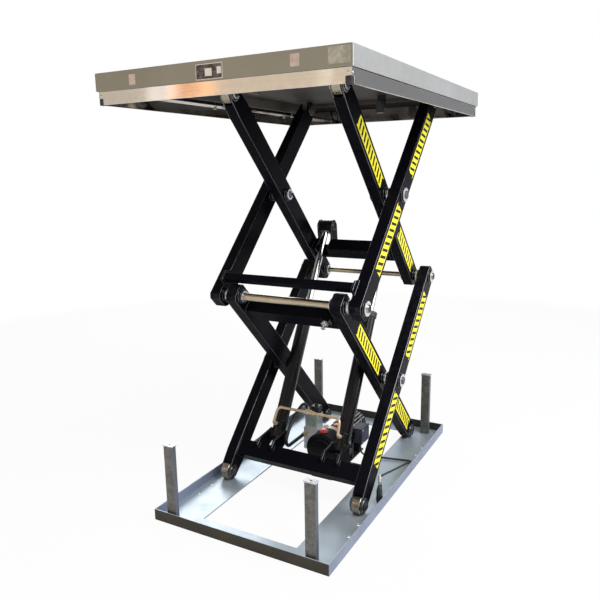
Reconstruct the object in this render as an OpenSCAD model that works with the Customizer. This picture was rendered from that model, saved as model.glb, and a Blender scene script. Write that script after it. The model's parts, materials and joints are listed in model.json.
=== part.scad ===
// Double scissor lift table, electro-hydraulic, free standing, drawn raised.
// Origin: on the floor, in the middle of the platform's plan.
// +X points to the hinged end, -X to the rolling end, +Z up.

/* [Platform] */
// Length of the platform
platform_l = 1300; // [1290:2:1320]
// Width of the platform
platform_w = 900; // [890:2:920]
// Depth of the platform's edge skirt
skirt_h = 56; // [50:1:60]
// Height of the platform's top in the raised position drawn here
raised_h = 1554; // [1545:1:1560]
// Height of the platform's top when fully lowered
lowered_h = 305; // [305:1:312]

/* [Base] */
// Length of the base frame
base_l = 1228; // [1224:2:1240]
// Width of the base frame
base_w = 710; // [706:2:716]
// Height of the base frame's side walls
base_h = 42; // [36:1:46]
// Width of the floor plate along each side
floor_w = 160; // [150:1:162]

/* [Scissor arms] */
// Distance between an arm's two end pivots
arm_len = 1031; // [1028:1:1032]
// Height of the arm's tube section
arm_h = 78; // [76:1:79]
// Width of the arm's tube section
arm_w = 45; // [44:1:46]
// Wall thickness of the arm's tube
arm_t = 5; // [4:0.5:5]
// Middle of the outer arms, from the centre line
outer_y = 290.5; // [290:0.5:291]
// Middle of the inner arms, from the centre line
inner_y = 217.5; // [217:0.5:218]
// Position of the fixed pivots along the table
hinge_x = 482; // [482:1:484]

/* [Pivots and rollers] */
// Diameter of the pivot pins
pin_d = 30; // [28:1:30]
// Diameter of the rollers
roller_d = 70; // [68:1:70]
// Width of the rollers
roller_w = 32; // [28:1:33]
// Diameter of the roller axles
axle_d = 25; // [22:1:25]

/* [Cylinders] */
// Distance of each cylinder from the centre line
cyl_y = 146; // [145:1:147]
// Outer diameter of the barrel
barrel_d = 57; // [54:1:58]
// Diameter of the chromed rod
rod_d = 28; // [25:1:30]
// Length of the barrel from its foot pin
barrel_l = 548; // [530:2:552]

/* [Hidden] */
$fn = 48;

plate = 5;       // thickness of the floor and deck plates
pivot_z = 40;    // base pivots above the floor, top pivots below the deck top
gap = 0.1;       // air between neighbouring parts
// radial clearances
bush_fit = 0.02; // bush in its bore
bore_fit = 0.03; // pin in its bore
ring_fit = 0.04; // washer or clip on its pin
run_fit = 0.05;  // bush on its pin
sides = [-1, 1];

lift_angle = asin((raised_h - 2*pivot_z)/(2*arm_len));
roll_x = hinge_x - arm_len*cos(lift_angle);
mid_z = pivot_z + arm_len*sin(lift_angle);
top_z = raised_h - pivot_z;

pin_r = pin_d/2;
axle_r = axle_d/2;
bush_r = pin_r + 3;
roller_r = roller_d/2;
barrel_r = barrel_d/2;

// ---- shapes and placing ----------------------------------------------
// rods named by their axis: x and y rods are centred on the place given
module x_rod(x, length, r) translate([x, 0, 0]) rotate([0, 90, 0])
  cylinder(h = length, r = r, center = true);
module y_rod(y, length, r) translate([0, y, 0]) rotate([90, 0, 0])
  cylinder(h = length, r = r, center = true);
// these two start at the place given
module x_rod_from(x, length, r) translate([x, 0, 0]) rotate([0, 90, 0]) cylinder(h = length, r = r);
module z_rod(z, height, r) translate([0, 0, z]) cylinder(h = height, r = r);
// tables of rods, each row: place, length, radius
module x_rods(rows) for (row = rows) x_rod(row[0], row[1], row[2]);
module z_rods(rows) for (row = rows) z_rod(row[0], row[1], row[2]);
module rod_between(start, end, r) {
  run = end - start;
  length = norm(run);
  translate(start) rotate([0, acos(run.z/length), atan2(run.y, run.x)])
    cylinder(h = length, r = r);
}
module y_ring(y, width, outer_r, inner_r) difference() {
  y_rod(y, width, outer_r);
  y_rod(y, width + 2, inner_r);
}
module y_extrude(width) rotate([90, 0, 0]) linear_extrude(width, center = true) children();
module box(x0, x1, y0, y1, z0, z1) translate([x0, y0, z0]) cube([x1 - x0, y1 - y0, z1 - z0]);
module hex(r, height) cylinder(h = height, r = r, $fn = 6);
module rounded_rect(length, width, r) union() {
  square([length - 2*r, width], center = true);
  square([length, width - 2*r], center = true);
  for (sx = sides, sy = sides)
    translate([sx*(length/2 - r), sy*(width/2 - r)]) circle(r);
}
// bolt head with the stub of its thread above
module bolt(head_h, stub_h) {
  hex(8, head_h);
  z_rod(head_h, stub_h, 4);
}

module both_sides() {
  children();
  mirror([0, 1, 0]) children();
}
module both_ends() {
  children();
  mirror([1, 0, 0]) children();
}
module along(places) for (x = places) translate([x, 0, 0]) children();
// a scissor frame on its first pivot at height z: x along the arm, z across it.
// Outer frames rise from the rolling end, inner frames from the hinged end.
module at_outer(z) translate([roll_x, 0, z]) rotate([0, -lift_angle, 0]) children();
module at_inner(z) translate([hinge_x, 0, z]) mirror([1, 0, 0]) rotate([0, -lift_angle, 0])
  children();
module at_base_hinges() both_sides() translate([hinge_x, inner_y, pivot_z]) children();
module at_top_hinges() both_sides() translate([hinge_x, outer_y, top_z]) children();
module at_base_rollers() both_sides() translate([roll_x, outer_y, pivot_z]) children();
module at_top_rollers() both_sides() translate([roll_x, inner_y, top_z]) children();
module on_inner_arms() both_sides() translate([0, inner_y, 0]) children();
module on_outer_arms() both_sides() translate([0, outer_y, 0]) children();

// ---- hinges, clips and rollers ---------------------------------------
lug_r = 26;
lug_w = 24;
lug_foot_x = 34;   // half length of the lug's foot
lug_foot_t = 6;
hinge_pin_l = 64;
clip_t = 3;
clip_rim = 7;      // radial width of a clip
clip_mouth = 12;
axle_clip_y = 28.5; // clips either side of a roller arm's middle
axle_rim = 4;      // roller bush's wall

module hinge_lug() difference() {
  seat_z = plate - pivot_z;
  union() {
    y_rod(0, lug_w, lug_r);
    box(-lug_r, lug_r, -lug_w/2, lug_w/2, seat_z, 0);
    box(-lug_foot_x, lug_foot_x, -lug_w/2, lug_w/2, seat_z, seat_z + lug_foot_t);
  }
  y_rod(0, 60, pin_r + bore_fit);
}
module hinge_pin() y_rod(0, hinge_pin_l, pin_r);
module hinge_clips() for (side = sides)
  y_ring(side*29.2, clip_t, pin_r + clip_rim, pin_r + ring_fit);
// ring with a mouth cut towards the given angle
module open_clip(y, shaft_r, rim_r, mouth_angle) difference() {
  y_rod(y, clip_t, rim_r);
  y_rod(y, clip_t + 2, shaft_r + ring_fit);
  translate([0, y, 0]) rotate([0, mouth_angle, 0])
    box(0, rim_r + 20, -clip_t, clip_t, -clip_mouth/2, clip_mouth/2);
}
module axle_clips(arm_y, mouth_angle) for (side = sides)
  open_clip(arm_y + side*axle_clip_y, axle_r, axle_r + clip_rim, mouth_angle);
// wheel with a recess in each face
module roller() difference() {
  union() {
    y_rod(0, roller_w, roller_r - 1);
    y_rod(0, roller_w - 4, roller_r);
  }
  y_rod(0, roller_w + 4, axle_r + axle_rim);
  for (side = sides) y_ring(side*roller_w/2, 4, roller_r - 7, axle_r + 7);
}
module roller_bush() y_ring(0, roller_w + 1, axle_r + axle_rim - 0.03, axle_r + run_fit);

// ---- base ------------------------------------------------------------
base_x = -616;                 // rolling end of the base frame
base_end = base_x + base_l;
end_floor_w = 80;
floor_hole_x = [-395, -313, 313, 395];
floor_hole_y = 322;

module base_frame() color("lightgray") difference() {
  union() {
    // each row: width inwards from the edge, height
    for (strip = [[floor_w, plate], [plate, base_h]]) both_sides()
      box(base_x, base_end, base_w/2 - strip[0], base_w/2, 0, strip[1]);
    for (strip = [[end_floor_w, plate], [plate, base_h]]) {
      box(base_x, base_x + strip[0], -base_w/2, base_w/2, 0, strip[1]);
      box(base_end - strip[0], base_end, -base_w/2, base_w/2, 0, strip[1]);
    }
  }
  for (sy = sides, x = floor_hole_x)
    translate([x, sy*floor_hole_y, 0]) z_rod(-1, plate + 2, 7);
}

post_x = [-594, 555];
post_y = 284;
post_size = [20, 40];
post_wall = 2.5;
cap_h = 4.5;
// the lowered platform stops just above the post caps
cap_z = lowered_h - plate - cap_h - 0.5;

module at_posts() for (x = post_x, sy = sides) translate([x, sy*post_y, 0]) children();
// block on the post's axis, its sides moved out by grow
module post_block(grow, z, height) translate([-post_size.x/2 - grow, -post_size.y/2 - grow, z])
  cube([post_size.x + 2*grow, post_size.y + 2*grow, height]);
module support_posts() color("silver") at_posts() difference() {
  post_block(0, plate, cap_z - plate);
  post_block(-post_wall, plate + 4, 400);
}
module post_caps() color("gainsboro") at_posts() difference() {
  union() {
    post_block(2, cap_z, cap_h);
    // plug inside the post
    post_block(-post_wall - gap, cap_z - 10, 10.5);
  }
  z_rod(cap_z - 20, 40, 4);
}

module base_hinge_lugs() color("gray") at_base_hinges() hinge_lug();
module base_hinge_pins() color("silver") at_base_hinges() hinge_pin();
module base_pin_clips() color("dimgray") at_base_hinges() hinge_clips();

// ---- power unit ------------------------------------------------------
pack_y = -44;       // common axis of tank, pump and motor
pack_z = 120;
bracket_y = 46;     // half width of the bracket
bracket_rib_x = [-46, 0, 150, 224];
strap_top = 10;
tank_r = 70;
filler_x = -38;
neck_h = 76;
flange_r = 56;      // motor flange and fan cover
shaft_r = 9;
block_x = 49;       // -X face of the manifold block
block_end = 120;
block_top = 150;
block_y = 96;       // +Y face of the manifold block
valve_seat = 158;   // top of the step under the valve block
valve_top = 214;
knob_x = 84;
knob_r = 10;

module at_pack() translate([0, pack_y, pack_z]) children();
module power_unit_bracket() color("dimgray") difference() {
  union() {
    box(-60, 270, pack_y - bracket_y, pack_y + bracket_y, 0, 6);
    for (x = bracket_rib_x) box(x, x + 8, pack_y - bracket_y, pack_y + bracket_y, 5, 78);
    // tie strap to the side floor plate
    box(60, 110, -220, pack_y - bracket_y + 1, plate + gap, strap_top);
  }
  at_pack() x_rod(-30, 100, tank_r + 0.2);
  at_pack() x_rod(190, 160, flange_r + 0.2);
}
module oil_tank() color("black") at_pack() difference() {
  union() {
    x_rods([[-17, 74, tank_r], [-56, 8, 63], [-61, 5, 48]]);
    translate([filler_x, 0, 0]) z_rod(0, neck_h, 13);
  }
  x_rod(-15, 62, tank_r - 4);
  translate([filler_x, 0, 0]) z_rod(30, 60, 9);
}
module tank_filler_cap() color("firebrick") at_pack() translate([filler_x, 0, 0])
  z_rods([[neck_h + gap, 9, 16], [neck_h + gap + 9, 4, 12], [60, 16.2, 8.9]]);
module pump_manifold() color("gainsboro") difference() {
  union() {
    at_pack() x_rods([[27, 13.6, 68], [37, 9, 58], [44.5, 9, 66]]);
    box(block_x, block_end, pack_y - 50, block_y, 58, block_top);
    box(block_x, block_end, 20, block_y, block_top, valve_seat);
    box(30, block_x, pack_y - 46, pack_y + 46, pack_z - 46, pack_z + 46);
  }
  translate([knob_x, pack_y, 0]) z_rod(60, 200, knob_r + 0.05);
}
module valve_block() color("honeydew") difference() {
  box(56, 112, 34, 92, valve_seat + 0.05, valve_top);
  // two recesses in the -X face
  for (y = [50, 76]) translate([0, y, 190]) x_rod(56, 24, 7);
}
module solenoid_coil() color("black") translate([90, 54, valve_top + gap]) difference() {
  union() {
    box(-18, 18, -18, 18, 0, 34);
    z_rod(0, 42, 8);
    box(18, 32, -12, 12, 6, 28);
  }
  z_rod(30, 40, 5);
}
module motor_body() color("silver") at_pack() difference() {
  union() {
    x_rods([[185.5, 130, 48], [124.2, 8, flange_r]]);
    // cooling fins
    for (angle = [-130:20:130]) rotate([angle, 0, 0]) box(127, 233, -2, 2, 40, 56);
  }
  x_rods([[250, 30, 41], [150, 250, shaft_r + 0.2]]);
}
module motor_fan_cover() color("dimgray") at_pack() difference() {
  x_rod(264, 26, flange_r);
  x_rod(260, 24, flange_r - 5);
  for (angle = [0:60:300]) rotate([angle, 0, 0]) translate([0, 0, 32]) x_rod(274, 20, 9);
  x_rod(274, 20, 12);
}
module motor_fan() color("white") at_pack() union() {
  x_rods([[190, 135, shaft_r], [252, 10, 18]]);
  for (angle = [0:45:315]) rotate([angle, 0, 0]) box(248, 256, -1.5, 1.5, 10, 39);
}
module terminal_box() color("slategray") at_pack() rotate([90, 0, 0]) difference() {
  box(140, 216, -34, 34, 40, 92);
  x_rod(178, 100, flange_r + gap);
  translate([0, 0, 76]) x_rod(214, 20, 8);
}
module power_unit_bolts() color("lightsteelblue") {
  for (x = [66, 104], y = [pack_y - 36, 10]) translate([x, y, block_top + gap]) bolt(7, 6);
  for (y = [-184, -116]) translate([85, y, strap_top + gap]) bolt(6, 4);
}
// upright in its bore in the manifold
module lowering_knob() color("red") translate([knob_x, pack_y, 0])
  z_rods([[92, 74, knob_r], [166, 14, 15], [180, 3, 12]]);

// ---- supply hose -----------------------------------------------------
// flat loop of tangent bends from the valve block down to the manifold
hose_y = 86;
hose_start = [66, 228];        // x and z
hose_r = 7;
hose_end_x = 34;
bend_r = [40, 230, 28];
heading = [90, 195, 235, 360]; // at the start of each bend and after the last
fitting_seat = 13.9;           // start of the hose's bore in a fitting

function left_of(angle) = [-sin(angle), cos(angle)];
// place where bend i starts, and its centre
function bend_start(i) = i == 0 ? hose_start
  : bend_centre(i - 1) - bend_r[i - 1]*left_of(heading[i]);
function bend_centre(i) = bend_start(i) + bend_r[i]*left_of(heading[i]);
hose_end = bend_start(3);

module hose_bend(i) {
  centre = bend_centre(i);
  translate([centre[0], hose_y, centre[1]]) rotate([90, 0, 0]) rotate([0, 0, heading[i] - 90])
    rotate_extrude(angle = heading[i + 1] - heading[i], $fn = 96)
      translate([bend_r[i], 0]) circle(hose_r, $fn = 24);
}
// sleeve over the joint where bend i starts
module hose_sleeve(i) {
  joint = bend_start(i);
  translate([joint[0], hose_y, joint[1]]) rotate([0, 90 - heading[i], 0])
    cylinder(h = 8, r = hose_r + 0.6, center = true);
}
module supply_hose() color("black") union() {
  for (i = [0:2]) hose_bend(i);
  translate([0, hose_y, hose_end[1]])
    x_rod_from(hose_end[0], hose_end_x - hose_end[0], hose_r, $fn = 24);
  for (i = [1:3]) hose_sleeve(i);
}
module hose_fitting(height) difference() {
  union() {
    hex(9.5, 12);
    z_rod(0, height, 8.4);
  }
  z_rod(fitting_seat, 30, hose_r + 0.06);
}
module hose_fittings() color("goldenrod") {
  translate([hose_start[0], hose_y, hose_start[1] - fitting_seat]) hose_fitting(14.6);
  translate([block_x - gap, hose_y, hose_end[1]]) rotate([0, -90, 0]) hose_fitting(22);
}

// ---- power cable -----------------------------------------------------
plug = [-149, -335];
// over the floor from the terminal box, then up to the plug
cable_path = [[186, -112, 15], [206, -200, 15], [236, plug.y, 15], [plug.x, plug.y, 118]];
module above(point) translate([point.x, point.y, 0]) children();
module power_cable() color("black") union() {
  for (i = [0:len(cable_path) - 2]) rod_between(cable_path[i], cable_path[i + 1], 4);
  // riser under the terminal box
  above(cable_path[0]) z_rod(8, 77.6, 5);
  above(cable_path[1]) z_rod(8.5, 13, 6.5);
  // clip on the floor plate
  above(cable_path[2]) z_rod(plate + gap, 22, 6.5);
  // gland over the plug
  above(plug) z_rods([[97, 32, 9], [84.3, 16, 4]]);
}
module cable_connector() color("black") translate([plug.x, plug.y, plate + 0.2])
  z_rods([[0, 66, 11.5], [20, 10, 13], [60, 18.9, 7]]);

// ---- scissor arms ----------------------------------------------------
arm_mid = arm_len/2;
lower_joints = [arm_mid, arm_len];
upper_joints = [0, arm_mid];
taper_l = 75;            // length of a tapered end
end_sq = 37;             // reach of a square end past its pivot
end_crop = 14;           // cropped corners of a square end
fork_web = 28;           // half height of the opening behind a fork
boss_r = 27;
boss_in = 10;            // bosses proud of the arm: inner arm both sides, outer arm inwards
boss_out = 2;            // outer arm outwards
outer_boss_w = arm_w + boss_in + boss_out;
outer_boss_y = (boss_out - boss_in)/2;
arm_gap = outer_y - inner_y - arm_w;
centre_pin_y = 255.5;
centre_pin_l = 145;
shaft_l = 656;
journal_l = 144;         // thick ends of the back shaft
clip_angle = -135;       // direction of most clips' mouths

// kinds of arm end: end radius and fork depth, 0 where square or closed
hinge_end = [33, 44];
roller_end = [32, 24];
square_end = [0, 0];

// lower edge points of an end whose pivot is at x 0, outermost first
function end_edge(r) = r > 0 ? [[0, -r], [taper_l, -arm_h/2]]
  : [[-end_sq, end_crop - arm_h/2], [end_crop - end_sq, -arm_h/2]];
module arm_outline(near_r, far_r) {
  near = end_edge(near_r);
  far = end_edge(far_r);
  polygon(concat(
    near,
    [for (i = [1, 0]) [arm_len - far[i].x, far[i].y]],
    [for (i = [0, 1]) [arm_len - far[i].x, -far[i].y]],
    [for (i = [1, 0]) [near[i].x, -near[i].y]]));
  if (near_r > 0) circle(near_r);
  if (far_r > 0) translate([arm_len, 0]) circle(far_r);
}
// block that fills the arm between its side walls
module between_walls(x0, x1, half_h)
  box(x0, x1, arm_t - arm_w/2, arm_w/2 - arm_t, -half_h, half_h);
module fork_slot(depth) if (depth > 0) {
  between_walls(-80, depth, 60);
  between_walls(depth - 1, taper_l + 1, fork_web);
}
module arm(near, far) difference() {
  y_extrude(arm_w) arm_outline(near[0], far[0]);
  between_walls(near[1] > 0 ? taper_l : 55, arm_len - (far[1] > 0 ? taper_l : 55),
    arm_h/2 - arm_t);
  fork_slot(near[1]);
  translate([arm_len, 0, 0]) mirror([1, 0, 0]) fork_slot(far[1]);
}
// collars on both walls of an open end
module end_collars(x) along([x]) for (side = sides) y_rod(side*(arm_w/2 + 1.9), 4, 25);
module bores(places, r) along(places) y_rod(0, arm_w + 30, r);
module inner_bosses(places) along(places) y_rod(0, arm_w + 2*boss_in, boss_r);
module outer_bosses(places) along(places) y_rod(outer_boss_y, outer_boss_w, boss_r);
module outer_bushes(places) along(places)
  y_ring(outer_boss_y, outer_boss_w, bush_r, pin_r + run_fit);
module fork_bushes() for (side = sides)
  y_ring(side*(arm_w/2 - 0.55), 8.9, bush_r, pin_r + run_fit);
// closed box beam between the two arms whose middles are at arm_y
module cross_beam(arm_y, x0, x1, z0, z1, wall = 5) difference() {
  box(x0, x1, 20 - arm_y, arm_y - 20, z0, z1);
  box(x0 + wall, x1 - wall, 25 - arm_y, arm_y - 25, z0 + wall, z1 - wall);
}
module centre_pins() both_sides() along([arm_mid]) y_rod(centre_pin_y, centre_pin_l, pin_r);
module joint_washers(places) both_sides() along(places) {
  y_ring((inner_y + outer_y)/2, arm_gap - 2*boss_in - 0.4, 25, pin_r + ring_fit);
  y_ring(outer_y + arm_w/2 + 4.2, 4, boss_r, pin_r + ring_fit);
}
module joint_clips(places) both_sides() along(places) {
  open_clip(outer_y + arm_w/2 + 8, pin_r, boss_r, clip_angle);
  open_clip(inner_y - arm_w/2 - boss_in - 1.8, pin_r, pin_r + clip_rim, clip_angle);
}

// ---- cylinder geometry -----------------------------------------------
foot = [195, -26];  // foot pin along and across the lower outer frame
head = [222, 84];   // head pin along and across the upper inner frame
// both pins in the table's x and z
foot_at = [roll_x + foot.x*cos(lift_angle) - foot.y*sin(lift_angle),
           pivot_z + foot.x*sin(lift_angle) + foot.y*cos(lift_angle)];
head_at = [hinge_x - head.x*cos(lift_angle) + head.y*sin(lift_angle),
           mid_z + head.x*sin(lift_angle) + head.y*cos(lift_angle)];
cyl_run = head_at - foot_at;
cyl_len = norm(cyl_run);
cyl_angle = atan2(cyl_run.y, cyl_run.x);
foot_pin_r = 12;
head_pin_r = 11;
cheek_t = 9;
foot_cheek_y = 33.2; // cheeks either side of the cylinder
head_cheek_y = 32;
// cheek outlines, along and across the arm
foot_cheek = [[112, 30], [114, 50], [146, 50], [foot.x + 22, foot.y + 16],
  [foot.x + 4, foot.y - 27], [132, -31], [131, 30]];
head_cheek = [[140, 28], [150, 66], [head.x - 16, head.y + 26], [head.x + 12, head.y + 26],
  [head.x + 26, head.y + 8], [head.x + 20, head.y - 20], [194, 28]];

// ---- lower inner frame -----------------------------------------------
stop_x = arm_len - 63;
stop_y = -149;
stop_r = 8;

module lower_inner_frame() color("black") at_inner(pivot_z) difference() {
  union() {
    on_inner_arms() {
      arm(hinge_end, square_end);
      end_collars(0);
      inner_bosses(lower_joints);
    }
    cross_beam(inner_y, arm_len - 112, arm_len - 52, -30, 30);
    // seat for the travel stop bolt
    box(stop_x - 18, stop_x + 11, stop_y - 18, stop_y + 18, -36, -29);
  }
  on_inner_arms() {
    bores([0], bush_r + bush_fit);
    bores(lower_joints, pin_r + bore_fit);
  }
  translate([stop_x, stop_y, 0]) z_rod(-70, 46, stop_r + 0.05);
}
module lower_inner_bushes() color("darkgoldenrod") at_inner(pivot_z) on_inner_arms()
  fork_bushes();
module lower_centre_pins() color("silver") at_inner(pivot_z) centre_pins();
// at mid height on the rolling side
module mid_front_shaft() color("silver") at_inner(pivot_z) along([arm_len])
  y_rod(0, shaft_l, pin_r);
module lower_pin_washers() color("gainsboro") at_inner(pivot_z) joint_washers(lower_joints);
module lower_pin_clips() color("dimgray") at_inner(pivot_z) joint_clips(lower_joints);
module travel_stop_bolt() color("lightsteelblue") at_inner(pivot_z)
  translate([stop_x, stop_y, 0]) {
    z_rod(-64, 38, stop_r);
    // nut under the seat
    translate([0, 0, -47]) difference() {
      hex(14, 10.8);
      z_rod(-1, 14, stop_r + ring_fit);
    }
  }

// ---- lower outer frame -----------------------------------------------
module lower_outer_frame() color("black") at_outer(pivot_z) difference() {
  union() {
    on_outer_arms() {
      arm(roller_end, square_end);
      end_collars(0);
      outer_bosses(lower_joints);
    }
    cross_beam(outer_y, 68, 132, -32, 32);
    // cheeks for the cylinder feet
    both_sides() for (side = sides) translate([0, cyl_y + side*foot_cheek_y, 0]) {
      y_extrude(cheek_t) polygon(foot_cheek);
      translate([foot.x, 0, foot.y]) y_rod(0, cheek_t, 27);
    }
  }
  on_outer_arms() {
    bores([0], axle_r + bore_fit);
    bores(lower_joints, bush_r + bush_fit);
  }
  both_sides() translate([foot.x, cyl_y, foot.y]) y_rod(0, 90, foot_pin_r + bore_fit);
}
module lower_outer_bushes() color("darkgoldenrod") at_outer(pivot_z) on_outer_arms()
  outer_bushes(lower_joints);
module lower_roller_axles() color("silver") at_outer(pivot_z) on_outer_arms()
  y_rod(0, 64, axle_r);
module lower_axle_clips() color("dimgray") at_outer(pivot_z) both_sides()
  axle_clips(outer_y, 45);
module cylinder_foot_pins() color("silver") at_outer(pivot_z) both_sides()
  translate([foot.x, cyl_y, foot.y]) y_rod(0, 84, foot_pin_r);
module lower_rollers() color("silver") at_base_rollers() roller();
module lower_roller_bushes() color("darkgoldenrod") at_base_rollers() roller_bush();

// ---- upper inner frame -----------------------------------------------
module upper_inner_frame() color("black") at_inner(mid_z) difference() {
  union() {
    on_inner_arms() {
      arm(square_end, roller_end);
      end_collars(arm_len);
      inner_bosses(upper_joints);
    }
    cross_beam(inner_y, 135, 195, -30, 30);
    // the beam is solid behind each head clevis, where it is relieved for the rod end
    both_sides() box(136, 194, cyl_y - 36, cyl_y + 36, -29, 29);
    both_sides() for (side = sides) {
      translate([0, cyl_y + side*head_cheek_y, 0]) y_extrude(cheek_t) polygon(head_cheek);
      translate([head.x, cyl_y + side*39, head.y]) y_rod(0, 6, 17);
    }
  }
  both_sides() box(154, 260, cyl_y - 27.4, cyl_y + 27.4, -31, 31);
  on_inner_arms() {
    bores(upper_joints, pin_r + bore_fit);
    bores([arm_len], axle_r + bore_fit);
  }
}
module upper_centre_pins() color("silver") at_inner(mid_z) centre_pins();
// at mid height on the hinged side
module mid_back_shaft() color("silver") at_inner(mid_z) union() {
  y_rod(0, shaft_l, 11);
  both_sides() y_rod((shaft_l - journal_l)/2, journal_l, pin_r);
}
module upper_pin_washers() color("gainsboro") at_inner(mid_z) joint_washers(upper_joints);
module upper_pin_clips() color("dimgray") at_inner(mid_z) {
  joint_clips(upper_joints);
  both_sides() along([arm_len]) axle_clips(inner_y, clip_angle);
}
module upper_roller_axles() color("silver") at_inner(mid_z) on_inner_arms() along([arm_len])
  y_rod(0, 62, axle_r);
module upper_rollers() color("silver") at_top_rollers() roller();
module upper_roller_bushes() color("darkgoldenrod") at_top_rollers() roller_bush();

// ---- upper outer frame -----------------------------------------------
gusset_t = 8;
gusset = [[20, 20], [28, 64], [68, 64], [92, 36], [92, 20]]; // along and across the arm

module upper_outer_frame() color("black") at_outer(mid_z) difference() {
  union() {
    on_outer_arms() {
      arm(square_end, hinge_end);
      end_collars(arm_len);
      outer_bosses(upper_joints);
      // gusset up to the cross beam
      translate([0, (gusset_t - arm_w)/2, 0]) y_extrude(gusset_t) polygon(gusset);
    }
    cross_beam(outer_y, 34, 62, 36, 62, wall = 3);
  }
  on_outer_arms() bores([0, arm_mid, arm_len], bush_r + bush_fit);
}
module upper_outer_bushes() color("darkgoldenrod") at_outer(mid_z) on_outer_arms() {
  outer_bushes(upper_joints);
  along([arm_len]) fork_bushes();
}

// ---- platform --------------------------------------------------------
skirt_t = 4;
deck_z = raised_h - plate;     // underside of the deck plate
guide_y = [178, 250];
guide_t = 7;
rim_x = [-616, 602];           // -X faces of the two end strips
rim_y = 392;
rim_t = 6;
switch_h = 60;                 // switch bottoms below the deck top
travel_switch_h = 78;

module platform_deck() color("lightgray") difference() {
  translate([0, 0, raised_h - skirt_h]) linear_extrude(skirt_h)
    rounded_rect(platform_l, platform_w, 5);
  translate([0, 0, raised_h - skirt_h - 1]) linear_extrude(skirt_h + 1 - plate)
    square([platform_l - 2*skirt_t, platform_w - 2*skirt_t], center = true);
}
module roller_guides() color("dimgray") {
  both_sides() for (y = guide_y) box(-570, -100, y, y + guide_t, raised_h - 33, deck_z);
  // strips round the underside
  both_sides() box(rim_x[0] + rim_t, rim_x[1], rim_y - rim_t, rim_y, raised_h - 45, deck_z);
  for (x = rim_x) box(x, x + rim_t, -rim_y, rim_y, raised_h - 20, deck_z);
}
module platform_hinge_lugs() color("dimgray") at_top_hinges() mirror([0, 0, 1]) hinge_lug();
module platform_hinge_pins() color("silver") at_top_hinges() hinge_pin();
module platform_pin_clips() color("dimgray") at_top_hinges() hinge_clips();
module safety_switches() color("black") {
  for (sx = sides, sy = sides) translate([sx*590, sy*401.5, raised_h - switch_h])
    difference() {
      box(-25, 25, -9, 9, 0, switch_h - plate);
      z_rod(-1, 14, 4);
    }
  // upper travel switch on its bracket
  translate([421, -93, raised_h - travel_switch_h]) union() {
    box(-16, 16, -14, 14, 0, 50);
    box(16, 21, -20, 20, 20, travel_switch_h - plate);
  }
}

// ---- safety bar ------------------------------------------------------
bar_top = raised_h - 38;
bar_bot = raised_h - 97;
bar_t = 4;
bar_x = platform_l/2 - 9;      // middle of the end strips
bar_y = platform_w/2 - 9;      // middle of the side strips
corner_cut = 24;               // full-depth strips stop this far from the platform's edge
band_z = bar_bot + 19.5;       // the strips reach on above this height
flange_z = bar_bot + 42;
flange_y = platform_w/2 - 23;
corner_inset = 7.2;
corner_w = 16.7;
corner_h = 20.3;

module at_hangers() for (x = [-560, 0, 560], sy = sides) translate([x, sy*418, 0]) children();
// guide bolts that carry the safety bar and let it rise
module safety_bar_hangers() color("lightsteelblue") at_hangers() union() {
  z_rod(raised_h - 56, 56 - plate, 4);
  translate([0, 0, raised_h - 62]) hex(8, 6);
}
module safety_bar() color("silver") difference() {
  union() {
    // each row: distance of the strip's ends from the platform's edge, bottom
    both_sides() for (strip = [[corner_cut, bar_bot], [7, band_z]]) {
      end_x = platform_l/2 - strip[0];
      box(-end_x, end_x, bar_y - bar_t/2, bar_y + bar_t/2, strip[1], bar_top);
    }
    both_sides() box(corner_cut - platform_l/2, platform_l/2 - corner_cut,
      flange_y - 16, flange_y + 16, flange_z, flange_z + 3);
    both_ends() for (strip = [[corner_cut, bar_bot], [7.5, band_z]]) {
      end_y = platform_w/2 - strip[0];
      box(bar_x - bar_t/2, bar_x + bar_t/2, -end_y, end_y, strip[1], bar_top);
    }
  }
  at_hangers() z_rod(bar_bot + 30, 40, 5);
}
module safety_bar_corners() color("black") both_ends() both_sides()
  translate([-platform_l/2, -platform_w/2, bar_bot]) difference() {
    translate([corner_inset, corner_inset, -1]) cube([corner_w, corner_w, corner_h]);
    translate([15.5, 15.5, 0]) z_rod(-2, 12, 3);
  }

// ---- cylinders -------------------------------------------------------
cyl_bore_r = barrel_r - 5.5;
port_x = 44;
port_top = barrel_r + 10;
rod_l = 612;                   // from the piston's face to the head pin
rod_start = cyl_len - rod_l;

// x along the cylinders from the foot pins
module at_cylinder_plane() translate([foot_at.x, 0, foot_at.y]) rotate([0, -cyl_angle, 0])
  children();
module at_cylinders() at_cylinder_plane() both_sides() translate([0, cyl_y, 0]) children();
module cylinder_barrels() color("black") at_cylinders() difference() {
  union() {
    y_rod(0, 56, 26);
    x_rod_from(0, barrel_l, barrel_r);
    translate([port_x, 0, 0]) z_rod(0, port_top, 11);
  }
  x_rod_from(36, barrel_l, cyl_bore_r);
  y_rod(0, 70, foot_pin_r + 0.05);
  translate([port_x, 0, 0]) z_rod(10, 40, 4.9);
}
module cylinder_glands() color("dimgray") at_cylinders() difference() {
  union() {
    x_rod_from(barrel_l + gap, 24, 32);
    x_rod_from(barrel_l - 20, 22, cyl_bore_r - 0.04);
  }
  x_rod_from(barrel_l - 30, 80, rod_d/2 + 0.05);
}
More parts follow.
